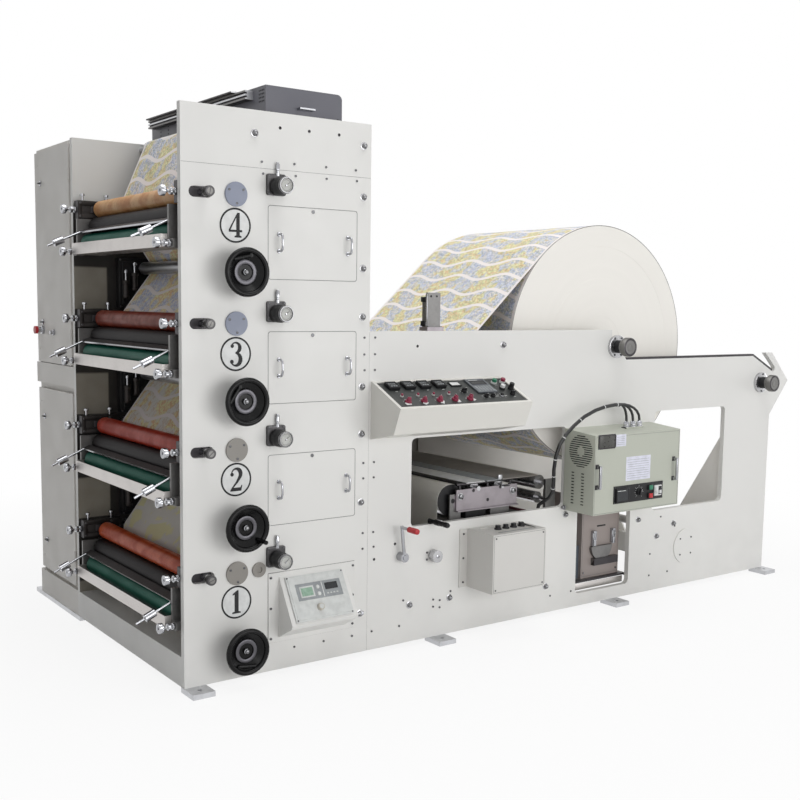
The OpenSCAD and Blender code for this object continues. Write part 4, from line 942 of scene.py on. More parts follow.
def register_gauge():
    """Dial gauge for the register: base, knurled body, bezel, dial, marks, needle and lubricator."""
    parts = [ease(flat_shape(KNOB_STEEL, [round_rect((-44, 44), (-36, 52), 9)], 13), 1.4)]
    put(parts, cap_screw(4.2, 3, 2.2), *[shift(x, y, 13) for x in (-36, 36) for y in (-28, 44)])
    body = [(0, 13), (33, 13), (33, 22), (37.4, 26), (37.4, 56), (35, 60), (35, 80), (33, 82), (0, 82)]
    bezel = [(29, 80), (33, 82), (34.5, 86), (34.5, 94), (32.5, 98.5), (29.5, 98.5), (28.2, 95), (28.2, 80)]
    parts += [turned(MATT_BLACK, body, 72, (37, 25, 57, 0.9)), turned(BOLT, bezel, 56),
              turned(GAUGE_DIAL, [(0, 93), (28.4, 93), (28.4, 80), (0, 80)], 48)]
    mark = flat_shape(MATT_BLACK, [[(-0.6, 20), (0.6, 20), (0.6, 26), (-0.6, 26)]], 0.4, 93)
    put(parts, mark, *[twist(radians(a)) for a in range(0, 360, 15)])
    needle = flat_shape(MATT_BLACK, [[(-1.6, -6), (1.6, -6), (0.4, 21), (-0.4, 21)]], 0.5, 94)
    parts.append(moved(needle, twist(radians(-52))))
    parts.append(turned(CHROME, [(0, 93), (3.4, 93), (3, 95.6), (0, 95.8)], 20))
    stem = [(0, 44), (8.6, 44), (8.6, 58), (5.5, 60), (5.5, 66), (8.8, 68), (8.8, 92), (6, 96), (6, 100),
            (0, 100)]
    parts.append(moved(turned(CHROME, stem, 28, (8.5, 68, 92.5, 0.6)), shift(6, 0, 10) @ BACK))
    return grouped(*parts)


def tower_fittings():
    fit("register_gauges", copies(register_gauge(), *[spot(427, 0, z + 42) for z in STATIONS]),
        replaces=("register_gauges",))
    discs = [spot(WHEEL_X + 37 * cos(a), -8, z + 37 * sin(a)) for z in STATIONS for a in (0.55, 2.65, 4.75)]
    plate = [spot(3135 + 66 * cos(a), -6, 245 + 66 * sin(a)) for a in (0.8, 2.37, 3.94, 5.5)]
    fit("cover_screws", copies(cap_screw(5, 2.6, 2.4), *discs, *plate))
    for n, z in enumerate(STATIONS, 1):
        collar = [(0, 33), (20.6, 33), (21.4, 34), (21.4, 58.5), (20, 60.5), (13, 60.5), (12.4, 59), (0, 59)]
        knob = turned(KNOB_STEEL, collar, 56, (21.2, 34, 59, 0.8))
        slot = block(DARK_STEEL, (-13, 13), (-1.5, 1.5), (58, 60.2), 0.3)
        nut = turned(STEEL, [(15.2, 20), (17.5, 20), (17.5, 31), (15.2, 32)], 32)
        fit(f"cylinder_knob_{n}", copies(grouped(knob, slot, nut), spot(100, 0, z, turn=20 * n)),
            f"plate_cylinder_{n}")
        dome = [(10.5 * cos(a), 95 + 7 * sin(a)) for a in (0, 0.35, 0.7, 1.05, 1.35)]
        cap = turned(BOLT, [(0, 94), (10.5, 94)] + dome + [(0, 102)], 32)
        hub = turned(BRUSHED, [(35, 85.5), (49, 85.5), (49.4, 86.6), (48, 87.2), (36.4, 87.2), (35, 86.4)],
                     64)
        fit(f"wheel_hub_{n}", copies(grouped(cap, hub), spot(WHEEL_X, 0, z - WHEEL_DROP)),
            f"handwheel_{n}")
    bow = bent_bar([(0, -35, 1), (0, -35, 26), (0, -16, 33), (0, 16, 33), (0, 35, 26), (0, 35, 1)], 5, 9, 4)
    feet = [moved(turned(CHROME, [(0, 0), (9.5, 0), (9.5, 2), (7.5, 4), (0, 4)], 28), shift(0, y, 0))
            for y in (-35, 35)]
    fit("bow_handles",
        copies(grouped(coat(bow, CHROME), *feet),
               *[spot(x, -0.2, z - 187) for z in STATIONS[1:] for x in (445, 790)]),
        replaces=("door_handles",))


# ---------- inside the tower ----------

def slide_block():
    """Slide of a plate cylinder: a cast frame round a dark guide slot, with gib screws along its face."""
    guide = flat_shape(SLIDE_CAST, [round_rect((10, 203), (-42, 42), 5), round_rect((26, 138), (-19, 21), 6)],
                       7)
    pad = flat_shape(DARK_STEEL, [round_rect((70, 134), (-15, 17), 3)], 6)
    parts = [block(SLIDE_CAST, (8, 205), (-1.5, 0), (-44, 44), 0.4),
             moved(ease(guide, 0.8), FRONT @ shift(0, 0, 0.6)), moved(ease(pad, 1), FRONT)]
    screws = [(18, -31), (18, 32), (150, -31), (150, 32), (194, 0)]
    put(parts, cap_screw(5.5, 4, 3), *[shift(x, -7, z) @ FRONT for x, z in screws])
    return grouped(*parts)


def slide_blocks():
    """One on each end of every plate cylinder, facing the rollers."""
    parts = []
    for z in STATIONS:
        for side, y in ((1, 1192), (-1, 76)):
            put(parts, slide_block(), Matrix.Translation(at(0, y, z)) @ Matrix.Diagonal((1, side, 1, 1)))
    slides = grouped(*parts)
    edit(slides)
    leave_closed(merge=False)
    fit("slide_blocks", [slides])


def drive_covers():
    """Blackened covers over the gears on the drive side, with two air cylinders on each. Their black also
    stands for the deep shade inside the tower, as painted shade.
    """
    parts = []
    for z in STATIONS[:-1]:
        cover = block(MATT_BLACK, (212, 640), (1196, DRIVE_INNER - 0.5), (z + 52, z + 300), 3)
        put(parts, sink(cover, lambda c, n: n.y < -0.99, (14, 0), (2, 4)))
        put(parts, cap_screw(5, 3, 2.4), *[spot(x, 1196, h) for x in (220, 632) for h in (z + 60, z + 292)])
        barrel = turned(SLIDE_CAST,
                        [(0, 0), (17, 0), (19, 3), (19, 12), (15, 13), (15, 74), (19, 75), (19, 86), (16, 90),
                         (0, 90)], 28)
        rod = turned(CHROME, [(0, 90), (5, 90), (5, 124), (9, 125), (9, 138), (6, 141), (0, 141)], 20)
        put(parts, grouped(barrel, rod), *[spot(x, 1176, z + h, UPWARD) for x, h in ((240, 100), (286, 138))])
    fit("gear_covers_and_painted_shade", parts)


def adjuster():
    """Adjusting screw: threaded rod, lock nut, thin nut and a coned knurled knob with a bored end."""
    thread = [point for k in range(17) for point in ((7, 3 * k), (6, 3 * k + 1.5))]
    rod = turned(STEEL, [(0, 0)] + thread + [(7, 51), (0, 51)], 20)
    nut = coat(ease(prism(6, 16, 0.5, 11.5), 1.2), CHROME)
    collar = [(7, 17.5), (13, 17.5), (15.3, 19.5), (15.3, 30), (13, 32), (7, 32)]
    head = [(7, 46), (12, 46), (13, 50), (19.5, 52), (22, 54), (22.3, 70), (20.5, 72.4), (13, 72.4), (12, 71),
            (6, 71), (5.4, 66), (0, 66)]
    return grouped(rod, nut, turned(CHROME, collar, 40, (15, 19, 31, 0.7)),
                   turned(CHROME, head, 48, (22, 53.5, 70.5, 0.9)))


def adjusters():
    places = []
    for z in STATIONS:
        places += [spot(8, y, z, LEFT, z % 47) for y in (52, 1216)]
        places += [spot(-12, y, z - ADJUSTER_DROP, LEFT, z % 31) for y in (68, 1182)]
    fit("adjusting_screws", copies(adjuster(), *places), replaces=("adjuster_knobs",))


# ---------- control units ----------

def press_button(radius, height, collar, cap, skirt=1.35):
    """Push button: a stepped collar and a slightly domed cap."""
    low = height * 0.42
    rim = turned(collar, [(0, 0), (radius * skirt, 0), (radius * skirt, low * 0.6),
                          (radius * skirt * 0.9, low), (radius, low), (radius, low * 0.8), (0, low * 0.8)],
                 28)
    top = turned(cap, [(0, low * 0.8), (radius * 0.94, low * 0.8), (radius * 0.94, height - 2),
                       (radius * 0.85, height - 0.6), (radius * 0.5, height - 0.1), (0, height)], 28)
    return grouped(rim, top)


def pointer_knob(radius, height, skirt, cap):
    """Pointer knob: fluted skirt, a grip bar across it and a white index line."""
    base = turned(skirt, [(0, 0), (radius, 0), (radius, height * 0.3), (radius * 0.88, height * 0.5),
                          (0, height * 0.5)], 36, (radius * 0.98, -0.1, height * 0.31, 0.7))
    grip = block(cap, (-radius * 0.92, radius * 0.96), (-radius * 0.3, radius * 0.3), (height * 0.45, height),
                 1.4)
    line = block(WHITE, (radius * 0.2, radius * 0.9), (-0.7, 0.7), (height - 0.2, height + 0.4), 0)
    return grouped(base, grip, line)


def scale_dots(radius, start, end, count):
    """White tick marks on an arc round a knob."""
    tick = flat_shape(WHITE, [[(radius, -0.7), (radius + 4, -0.7), (radius + 4, 0.7), (radius, 0.7)]], 0.5)
    return grouped(*copies(tick,
                           *[twist(radians(start + (end - start) * k / (count - 1))) for k in range(count)]))


def panel_meter():
    """Counter in its bezel: sunk dark window with pale digits over two keys."""
    case = block((MATT_BLACK, GLASS), (0, 58), (0, 54), (0, 16), 1.6)
    parts = [sink(case, top_of(16), (4, 0), (0.8, -2), material=1)]
    digit = [[(0, 0), (5, 0), (5, 9), (0, 9)], [(1.3, 1.3), (3.7, 1.3), (3.7, 7.7), (1.3, 7.7)]]
    put(parts, flat_shape(PANEL_GREY, digit, 0.5), *[shift(11 + 9.5 * k, 29, 14) for k in range(4)])
    key = block(PANEL_GREY, (0, 9), (0, 6), (0, 2.4), 0.7)
    put(parts, key, *[shift(12 + 13 * k, 10, 13.8) for k in range(3)])
    return grouped(*parts)


def keypad_panel():
    """Operator keypad: sunk display above a grid of raised keys."""
    plate = block(KEYPAD, (0, 118), (0, 126), (0, 8), 2)
    rim = flat_shape(PANEL_GREY, [round_rect((3, 115), (3, 123), 5), round_rect((5, 113), (5, 121), 4)], 0.8,
                     7.8)
    window = block((MATT_BLACK, GLASS), (14, 104), (72, 106), (7, 9.6), 1)
    sink(window, top_of(9.6), (3, 0), (0.6, -1), material=1)
    key = block(PANEL_GREY, (0, 12.5), (0, 9), (7.4, 10.4), 1)
    keys = copies(key, *[shift(10 + 17 * i, 9 + 12.5 * k, 0) for i in range(6) for k in range(4)])
    return grouped(plate, rim, window, block(SOFT_WHITE, (16, 72), (111, 115), (7.6, 8.5), 0.2), *keys)


def console_panel():
    parts = []
    columns = [81 + 89 * i for i in range(5)]

    def mount(model, *places):
        put(parts, model, *[PANEL @ shift(u, v, 0) for u, v in places])

    mount(panel_meter(), *[(u - 29, 172) for u in columns[:4]])
    mount(press_button(6, 14, SOFT_WHITE, CRIMSON), *[(u, 114) for u in columns[:4]])
    switch = grouped(block(WHITE, (-21, 7), (-22, -4), (0, 3), 0.8),
                     press_button(10.5, 23, CRIMSON, CRIMSON, 1.5),
                     moved(pointer_knob(9, 9, CRIMSON, CRIMSON), shift(0, 0, 19)))
    put(parts, switch, *[PANEL @ shift(u, 60, 0) @ twist(0.5 * k) for k, u in enumerate(columns)])
    mount(scale_dots(19, 20, 160, 7), *[(u, 60) for u in columns])
    meter = block((MATT_BLACK, WHITE), (0, 62), (0, 38), (0, 6), 1.2)
    mount(sink(meter, top_of(6), (3.5, 0), (0.5, -1), material=1), (413, 180))
    mount(pointer_knob(13.5, 22, MATT_BLACK, MATT_BLACK), (450, 130))
    mount(scale_dots(18, -30, 210, 9), (450, 130), (545, 74), (642, 74))
    mount(keypad_panel(), (522, 106))
    mount(pointer_knob(11, 18, MATT_BLACK, MATT_BLACK), (545, 74), (585, 74))
    mount(press_button(8, 16, CHROME, MATT_BLACK), (642, 74))
    for place, cap, collar in (((684, 196), GREEN, SOFT_WHITE), ((742, 200), CRIMSON, SOFT_WHITE),
                               ((694, 140), WHITE, MATT_BLACK)):
        mount(press_button(12.5, 24, collar, cap, 1.2), place)
    mount(press_button(13, 34, MATT_BLACK, MATT_BLACK, 1.15), (744, 134))
    mount(pointer_knob(13, 22, MATT_BLACK, MATT_BLACK), (716, 84))
    mount(block(SOFT_WHITE, (-6, 6), (-1, 1), (0, 1.8), 0.2), *[(u, 158) for u in columns[:4]],
          *[(u, 86) for u in columns], (614, 92), (612, 74), (668, 74), (716, 62), (684, 174), (742, 176))
    mount(cap_screw(3.6, 3.4, 1.8), *[(u, v) for u in (24, 755) for v in (24, 230)])
    fit("console_panel", parts, replaces=("console_controls",))


def tension_panel():
    """Face of the tension control: raised frame with a display strip, setting knob and latch ball."""
    plate = sink(block(SOFT_WHITE, (466, 760), (-217, -10), (3, 7), 1.4), top_of(7), (7, 0), (1.2, 1.6))
    strip = sink(block(PANEL_GREY, (503, 732), (-126, -50), (6, 9.6), 1.2), top_of(9.6), (2.4, 0),
                 (0.6, -0.8))
    screen = block((SOFT_WHITE, LCD), (519, 590), (-114, -64), (8, 11), 1)
    parts = [plate, strip, sink(screen, top_of(11), (5, 0), (0.6, -1), material=1)]
    put_flat(parts, press_button(8.6, 5, SOFT_WHITE, WHITE, 1.1), 8.6, [(612, v) for v in (-74, -105)])
    parts.append(block(WHITE, (633, 637), (-122, -54), (8.4, 10.2), 0.4))
    dark = block((MATT_BLACK, GLASS), (649, 713), (-92, -62), (8.4, 10.6), 0.8)
    parts.append(sink(dark, top_of(10.6), (2.5, 0), (0.5, -0.8), material=1))
    put_flat(parts, block(SOFT_WHITE, (0, 9), (0, 5), (8.6, 10.4), 0.6), 0,
             [(651 + 16 * k, -112) for k in range(4)])
    knob = [(0, 6), (16, 6), (16.5, 8), (15, 22), (13.4, 24), (4, 24), (0, 23.4)]
    put_flat(parts, turned(BEIGE, knob, 40, (14.4, 9, 21, 0.7)), 0, [(599, -165)])
    put_flat(parts, turned(SOFT_WHITE, [(0, 23), (11, 23), (11, 24.4), (9.6, 25.2), (0, 25.2)], 32), 0,
             [(599, -165)])
    put_flat(parts, cap_screw(3.4, 2.4, 1.7), 8.4, [(u, v) for u in (474, 752) for v in (-209, -18)])
    parts = copies(grouped(*parts), WEDGE)
    ball = [(4, 0), (6, 0), (6, 7), (4, 8), (4, 17)]
    ball += [(10.5 * sin(a), 26 - 10.5 * cos(a)) for a in (k * pi / 12 for k in range(2, 12))]
    put(parts, turned(CHROME, [(0, 0)] + ball + [(0, 36.5)], 32),
        spot(782, -110, 243, Matrix.Rotation(pi / 2, 4, "Y")))
    put(parts, joint_line((391.5, 839.5), (145.5, 456.5), 3, 1.7), spot(0, -0.05, 0))
    put(parts, cap_screw(5.5, 3.4, 2.8),
        *[spot(x, -4, z, turn=x % 60) for x in (404, 827) for z in (166, 300, 436)])
    fit("tension_panel", parts)


def cable_tie():
    return grouped(turned(WHITE, [(9.2, -2.2), (10.7, -2.2), (10.7, 2.2), (9.2, 2.2)], 24),
                   block(WHITE, (9.8, 13.6), (-2.4, 2.4), (-2.6, 2.6), 0.7))


def treater_details():
    """Door joint, window, switch strip, handles, glands and cable ties of the corona treater."""
    x0, z0, face = TREATER_X, TREATER_Z, TREATER_FACE
    front = face - 4
    parts = []
    put(parts, joint_line((x0 + 5, x0 + 642), (z0 + 5, z0 + 401), 5), spot(0, face - 0.05, 0))
    x, z = (x0 + 22, x0 + 146), (z0 + 339, z0 + 413)
    cut = 9
    outer = [(x[0] + cut, z[0]), (x[1] - cut, z[0]), (x[1], z[0] + cut), (x[1], z[1] - cut),
             (x[1] - cut, z[1]), (x[0] + cut, z[1]), (x[0], z[1] - cut), (x[0], z[0] + cut)]
    pane = round_rect((x[0] + 7, x[1] - 7), (z[0] + 7, z[1] - 7), 3)
    put(parts, ease(flat_shape(SMOKED, [outer], 3), 0.7), spot(0, face - 2, 0))
    put(parts, flat_shape(DARK_STEEL, [outer, pane], 1.2), spot(0, face - 5, 0))
    sx, sz = x0 + 144, z0 + 47
    put(parts, block(MATT_BLACK, (sx, sx + 374), (face - 4.2, face - 2), (sz, sz + 92), 0.8))
    timer = block((MATT_BLACK, GLASS), (sx + 10, sx + 104), (front - 12, front), (sz + 6, sz + 80), 1.5)
    put(parts, sink(timer, lambda c, n: n.y < -0.99, (5, 0), (0.8, -1.6), material=1))
    put(parts, block(SOFT_WHITE, (sx + 14, sx + 74), (front - 14, front - 11), (sz + 66, sz + 69), 0.3))
    dial = sx + 187, front, sz + 49
    put(parts, pointer_knob(18, 20, MATT_BLACK, MATT_BLACK), spot(*dial, turn=70))
    for radius, count in ((23, 13), (30, 7)):
        put(parts, scale_dots(radius, -50, 230, count), spot(*dial))
    for dz, cap in ((66, GREEN), (22, RED)):
        lamp = grouped(block(MATT_BLACK, (-17, 17), (-15, 15), (0, 7), 1.6),
                       block(cap, (-13.5, 13.5), (-12, 12), (6, 12), 2))
        put(parts, lamp, spot(sx + 273, front, sz + dz))
    rocker = [block(WHITE, (-27, 27), (-28, 28), (0, 7), 1.6)]
    rocker += [block((WHITE, MATT_BLACK)[k], (-22 + 23 * k, -1 + 23 * k), (-22, 22), (6, 11), 2.2)
               for k in (0, 1)]
    rocker += [block(WHITE, (-20 + 23 * k, -3 + 23 * k), (-16, 2), (10, 15), 2.4) for k in (0, 1)]
    put(parts, grouped(*rocker), spot(sx + 331, front, sz + 45))
    put(parts, cap_screw(3.2, 2.4, 1.6),
        *[spot(x, face - 4.2, z) for x in (sx + 5, sx + 369) for z in (sz + 6, sz + 86)])
    handle = [ease(block(CHROME, (-7, 7), (-60, 60), (20, 31), 0), 2.4, 3)]
    handle += [block(CHROME, (-7, 7), (y - 7, y + 7), (2, 26), 1.6) for y in (-53, 53)]
    handle += [block(DARK_STEEL, (-11, 11), (y - 12, y + 12), (0, 3), 1) for y in (-53, 53)]
    put(parts, grouped(*handle), *[spot(x, face, z0 + 198) for x in (x0 + 18, x0 + 601)])
    gland = grouped(turned(CHROME,
                           [(7.2, 0), (15, 0), (16, 1), (16, 9), (13.4, 10), (13.4, 13), (15.5, 14),
                            (15.5, 22), (13, 26), (9, 30), (7.2, 30)], 6),
                    turned(STEEL, [(7.1, 9), (13.9, 9), (13.9, 14), (7.1, 14)], 28),
                    turned(STEEL, [(7.2, 0), (19, 0), (19, 2), (17, 3.2), (7.2, 3.2)], 32))
    for x, z, w, h, rows in ((x0 + 148, z0 + 345, 78, 62, 5), (x0 + 232, z0 + 160, 186, 126, 9)):
        put(parts, flat_shape(NOTICE, [round_rect((x, x + w), (z, z + h), 2)], 0.5), spot(0, face - 0.1, 0))
        rule = [(x + 10, 0), (x + w - 12, 0), (x + w - 12, 1.6), (x + 10, 1.6)]
        put(parts, flat_shape(PANEL_GREY, [rule], 0.2),
            *[spot(0, face - 0.6, z + h * (k + 1) / (rows + 1.5)) for k in range(rows)])
    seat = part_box("treater_fittings")[1].z - 0.030
    put(parts, gland, *[Matrix.Translation((*at(x0 + gx, -100, 0).xy, seat)) for gx in (350, 400, 450)])
    for k, t in ((0, 0.6), (2, 0.1), (4, 0.4), (6, 0.3), (8, 0.2), (9, 0.5), (10, 0.6)):
        p, q = at(*TRUNK[k]), at(*TRUNK[k + 1])
        put(parts, cable_tie(), Matrix.Translation(p.lerp(q, t)) @ aimed(q - p, "Z", "X"))
    put(parts, acorn_nut(11), spot(x0 - 6, -14, z0 + 14, LEFT))
    fit("treater_details", parts, replaces=("treater_fittings",))


def control_box_details():
    """Knobs and their scales on the sunk panel, the marking strip, the lid's joint and the screws."""
    parts = []
    x0, panel = BOX_X, BOX_TOP - 6
    for i in range(4):
        knob = grouped(turned(MATT_BLACK, [(17.2, 0), (18.2, 0), (18.2, 5), (17, 7), (0, 7)], 36),
                       turned(MATT_BLACK, [(0, 6), (13.4, 6), (13.4, 19), (12, 21), (0, 21)], 40,
                              (13, 8, 19.5, 0.8)), block(WHITE, (2, 12.6), (-0.8, 0.8), (20.6, 21.6), 0.2))
        place = x0 + 133 + 51 * i, -78.5, panel
        put(parts, knob, spot(*place, UPWARD, 50 + 35 * i))
        put(parts, scale_dots(20, 0, 270, 8), spot(*place, UPWARD, -30))
    put(parts, block(PANEL_GREY, (20, 240), (16, 40), (0, 0.8), 0.2), spot(x0 + 62, -176, panel, UPWARD))
    put(parts, cap_screw(3.6, 2.6, 1.8),
        *[spot(x, y, panel, UPWARD) for x in (x0 + 56, x0 + 303) for y in (-159, -38)])
    put(parts, cap_screw(5, 3.2, 2.6), *[spot(x0 - 24, -6, z, turn=z % 60) for z in (266, 386, 506)])
    put(parts, joint_line((x0 + 6, x0 + 334), (BOX_Z + 6, panel), 4), spot(0, BOX_FACE - 0.05, 0))
    put(parts, cap_screw(4, 2.8, 2),
        *[spot(x, BOX_FACE, z) for x in (x0 + 18, x0 + 322) for z in (BOX_Z + 18, BOX_TOP - 18)])
    fit("control_box_details", parts)


# ---------- along the frame ----------

def chuck_knob_cap():
    """Roll chuck: bolted flange, ribbed grip and a bright rimmed face with its centre bore."""
    flange = [(36, 15.6), (56, 15.6), (60.4, 14.5), (60.4, 16), (57, 17.6), (36, 17.6)]
    grip = [(0, 60.5), (40, 60.5), (50, 74), (50, 100), (47.5, 104.5), (36, 104.5), (34.5, 102), (24, 102),
            (22, 105), (12, 105), (10.5, 103), (10.5, 90), (0, 90)]
    rim = [(37, 103.4), (46.5, 103.4), (46.5, 105.6), (45, 106.6), (38.4, 106.6), (37, 105.6), (37, 103.4)]
    parts = [turned(STEEL, flange, 64), turned(CHUCK_FACE, grip, 72, (49.6, 75, 100, 1.3)),
             turned(DARK_STEEL, rim, 64)]
    put(parts, cap_screw(5.6, 4, 3), *[twist(k * pi / 3) @ shift(51, 0, 17) for k in range(6)])
    return grouped(*parts)


def frame_fittings():
    """Chuck caps, the bolts in the window's bracket, the knob and grips beside it, and the crank's grip."""
    fit("chuck_caps",
        copies(chuck_knob_cap(), spot(2504, 0, 1405), spot(3770, 0, 1172, turn=25)))
    bolt = grouped(turned(STEEL, [(0, 0), (19, 0), (19, 3), (17.6, 4), (0, 4)], 36), hex_head(14, 9, 4))
    parts = copies(bolt, spot(1522, 84, 672, turn=12), spot(1866, 84, 672, turn=40))
    put(parts, plugged_hole(DARK_STEEL, 7, 8.6, 1, 24, 0.2),
        *[spot(x, 84, z) for x, z in ((1606, 695), (1783, 698), (1700, 640))])
    put(parts, block(DARK_STEEL, (1790, 1828), (62, 84), (702, 706), 0.4))
    fit("bracket_bolts", parts)
    knob = [(0, 45), (26, 45), (29.4, 42), (29.4, 18), (27, 14.5), (0, 14.5)]
    parts = [turned(ALUMINIUM, knob, 64, (29, 17, 43, 1)),
             turned(CHROME, [(0, 45), (9, 45), (9, 47), (7.4, 48), (0, 48)], 28)]
    fit("tension_knob", copies(grouped(*parts), spot(1285, 0, 425)))
    grip = [(0, 0), (10.4, 0), (12.4, 3), (12.4, 24), (10.8, 28), (10.8, 34), (12.6, 40), (12.6, 62), (9, 68),
            (0, 69)]
    fit("clamp_grip", copies(turned(MATT_BLACK, grip, 32), spot(1287, -50, 587)))
    crank = spot(1095, 0, 443, turn=6)
    ribs = [(r, z + 7 * k) for k in range(9) for r, z in ((13.2, 56), (13.6, 59), (13.2, 61), (12.2, 62))]
    rubber = turned(RED, [(0, 55)] + ribs + [(12, 120), (6, 121.5), (0, 122)], 32)
    hub = turned(CHROME, [(0, 42), (12, 42), (12.6, 43), (12, 46), (0, 46)], 32)
    fit("crank_grip", copies(rubber, crank @ shift(0, 145, 34)) + copies(hub, crank),
        "crank_lever")


def window_table():
    """Steel table over the web behind the turn roller, its beams, pillars and stop block. Its white bar is
    painted light and its dark bar beyond the grey one painted shadow.
    """
    parts = []
    # the white bar stands for a steel bar in light, as painted light; the dark bar beyond the grey one is
    # painted shadow of the wall
    for x, finish in (((1500, 1557), DARK_STEEL), ((1562, 1680), WHITE), ((1692, 1788), PANEL_GREY),
                      ((1798, 2040), TABLE_PAINTED_SHADOW)):
        put(parts, block(finish, x, (84, 1156), (733.5, 738), 1))
    for y in (84, 1146):
        put(parts, block(DARK_STEEL, (1500, 1860), (y, y + 10), (728, 733.4), 0.6))
    pillar = turned(DARK_STEEL, [(0, 0), (9, 0), (9, 3), (6.5, 5), (6.5, 20), (8, 22), (0, 22)], 24)
    put(parts, pillar, *[spot(x, y, 706, UPWARD) for x in (1520, 1700, 1850) for y in (89, 1151)])
    put(parts, block(ALUMINIUM, (1770, 1796), (84, 96), (738, 760), 1.5))
    fit("window_table", parts)


def drive_side_panels():
    """Bare panels of the drive side: one screwed over the long window, one inside over the arm's opening."""
    cover = block((FRAME_INSIDE, CREAM), (1143, 2167), (DRIVE_OUTER + 0.4, DRIVE_OUTER + 3.4), (563, 1007), 1)
    outline = [(2125, 562), (2812, 562), (2812, 470), (3470, 470), (3470, 1050), (2812, 1050), (2812, 1012),
               (2125, 1012)]
    panel = ease(flat_shape((FRAME_INSIDE, CREAM), [outline], 3.2), 0.8)
    parts = copies(cover, AS_DRAWN) + copies(panel, spot(0, DRIVE_INNER - 0.3, 0))
    # Faces turned towards the press take the frame plate's inner finish, with its painted shade and painted
    # light; the rest is cream.
    for part in parts:
        for face in part.data.polygons:
            face.material_index = int(face.normal.y > 0.5)
    places = [(x, z) for x in (1150, 1402, 1655, 1908, 2160)
              for z in (570, 1000)] + [(x, 785) for x in (1150, 2160)]
    put(parts, cap_screw(4, 3, 2), *[spot(x, DRIVE_OUTER + 3.4, z, BACK) for x, z in places])
    fit("drive_side_panels", parts)


def service_pan():
    """Apron and rear guard of the latch box's shelf."""
    apron = block(STAINLESS, (2258, 2660), (40, 43), (92, 126.5), 0.8)
    # The rear guard's dark steel also stands for the shaded inside seen through the opening, as painted
    # shade.
    guard = block(DARK_STEEL, (2560, 2690), (366, 370), (137.5, 585), 0.8)
    fit("service_pan", copies(apron, AS_DRAWN) + copies(guard, AS_DRAWN))


def hood_vents():
    """Punched vents in the hood's end and the screws along its lower edge."""
    places = [(76 + 13 * i, 2502 - 15 * k) for i in range(4) for k in range(4)]
    places += [(y, 2470 - 18 * k) for y in (1040, 1130) for k in range(4)]
    parts = copies(plugged_hole(MATT_BLACK, 3.4, 4.2, 0.5, 16), *[spot(415, y, z, LEFT) for y, z in places])
    put(parts, cap_screw(4, 2.4, 2), *[spot(x, 60, 2412) for x in (440, 700, 770)])
    fit("hood_vents", parts)


def sensor_details():
    """Bright guide edge, clamp blocks and adjusting holes of the web sensor's bracket."""
    parts = []
    put(parts, block(CHROME, (1240, 1244), (11, 23), (1514, 1668), 0.8))
    for z in (1516, 1628):
        put(parts, block(MATT_BLACK, (1237, 1248), (26, 56), (z, z + 24), 1.5))
    put(parts, plugged_hole(MATT_BLACK, 4, 5, 0.7, 20), *[spot(x, 10, 1655) for x in (1296, 1262)])
    put(parts, cap_screw(5, 3.5, 2.6), *[spot(x, 6, 1512, UPWARD) for x in (1246, 1322)])
    fit("sensor_details", parts)


def toggle_latch():
    """Toggle catch: base plate, lever and wire bail."""
    bail = bent_bar([(-8, -8, 6), (-8, 38, 8), (8, 38, 8), (8, -8, 6)], 1.8, 5)
    return grouped(block(CHROME, (-11, 11), (-42, 6), (0, 2), 0.6),
                   block(CHROME, (-9, 9), (-40, -4), (3, 7), 1.4), coat(bail, CHROME),
                   block(CHROME, (-10, 10), (30, 44), (0, 9), 1.5))


def service_details():
    """Catches, lid joint, handle and bolts on the latch box."""
    parts = copies(toggle_latch(), *[spot(x, 56, 356) for x in (2448, 2597)])
    put(parts, joint_line((2372, 2646), (150, 582), 4, 1.6), spot(0, 69.95, 0))
    put(parts, block(MATT_BLACK, (-32, 32), (-4, 4), (0, 2), 0.5), spot(2512, 70, 420))
    put(parts, hex_head(6, 4), *[spot(x, 70, z) for x in (2384, 2634) for z in (170, 562)])
    fit("service_details", parts)


def door_lock():
    return grouped(turned(CHROME, [(0, 0), (15, 0), (15, 3), (12.6, 5), (0, 5)], 36),
                   block(MATT_BLACK, (-4, 4), (-24, 13), (4, 14), 2))


def cabinet_details():
    for name, heights in (("upper", (1500, 2220)), ("lower", (330, 1000))):
        fit(f"{name}_door_locks",
            copies(door_lock(), *[spot(0, 1730, z, LEFT) for z in heights]), f"cabinet_door_{name}")


# ---------- paper ----------

def web_turns():
    """Rollers on the web's way: centre, radius, and 1 where the roller lies right of the running web."""
    turns = [((2085, 692), 38, -1), ((1483, 652), 78, -1), ((1373.2, 290), 30, 1), ((325, 204), 30, 1)]
    for n, z in enumerate(STATIONS):
        turns.append(((243, z), 54, 1))
        turns.append(((355, 2370), 30, 1) if n == 3 else ((325, z + 250), 30, -1))
    return turns + [((740, 2340), 30, 1), ((800, 1180), 30, -1), ((1400, 1310), 30, -1),
                    (ROLL_AT, ROLL_RADIUS, 1)]


def run_heading(first, second):
    dx, dz = second[0][0] - first[0][0], second[0][1] - first[0][1]
    mid = WEB_GAP + WEB_THICKNESS / 2
    lean = (first[2] * (first[1] + mid) - second[2] * (second[1] + mid)) / hypot(dx, dz)
    return atan2(dz, dx) - asin(lean)


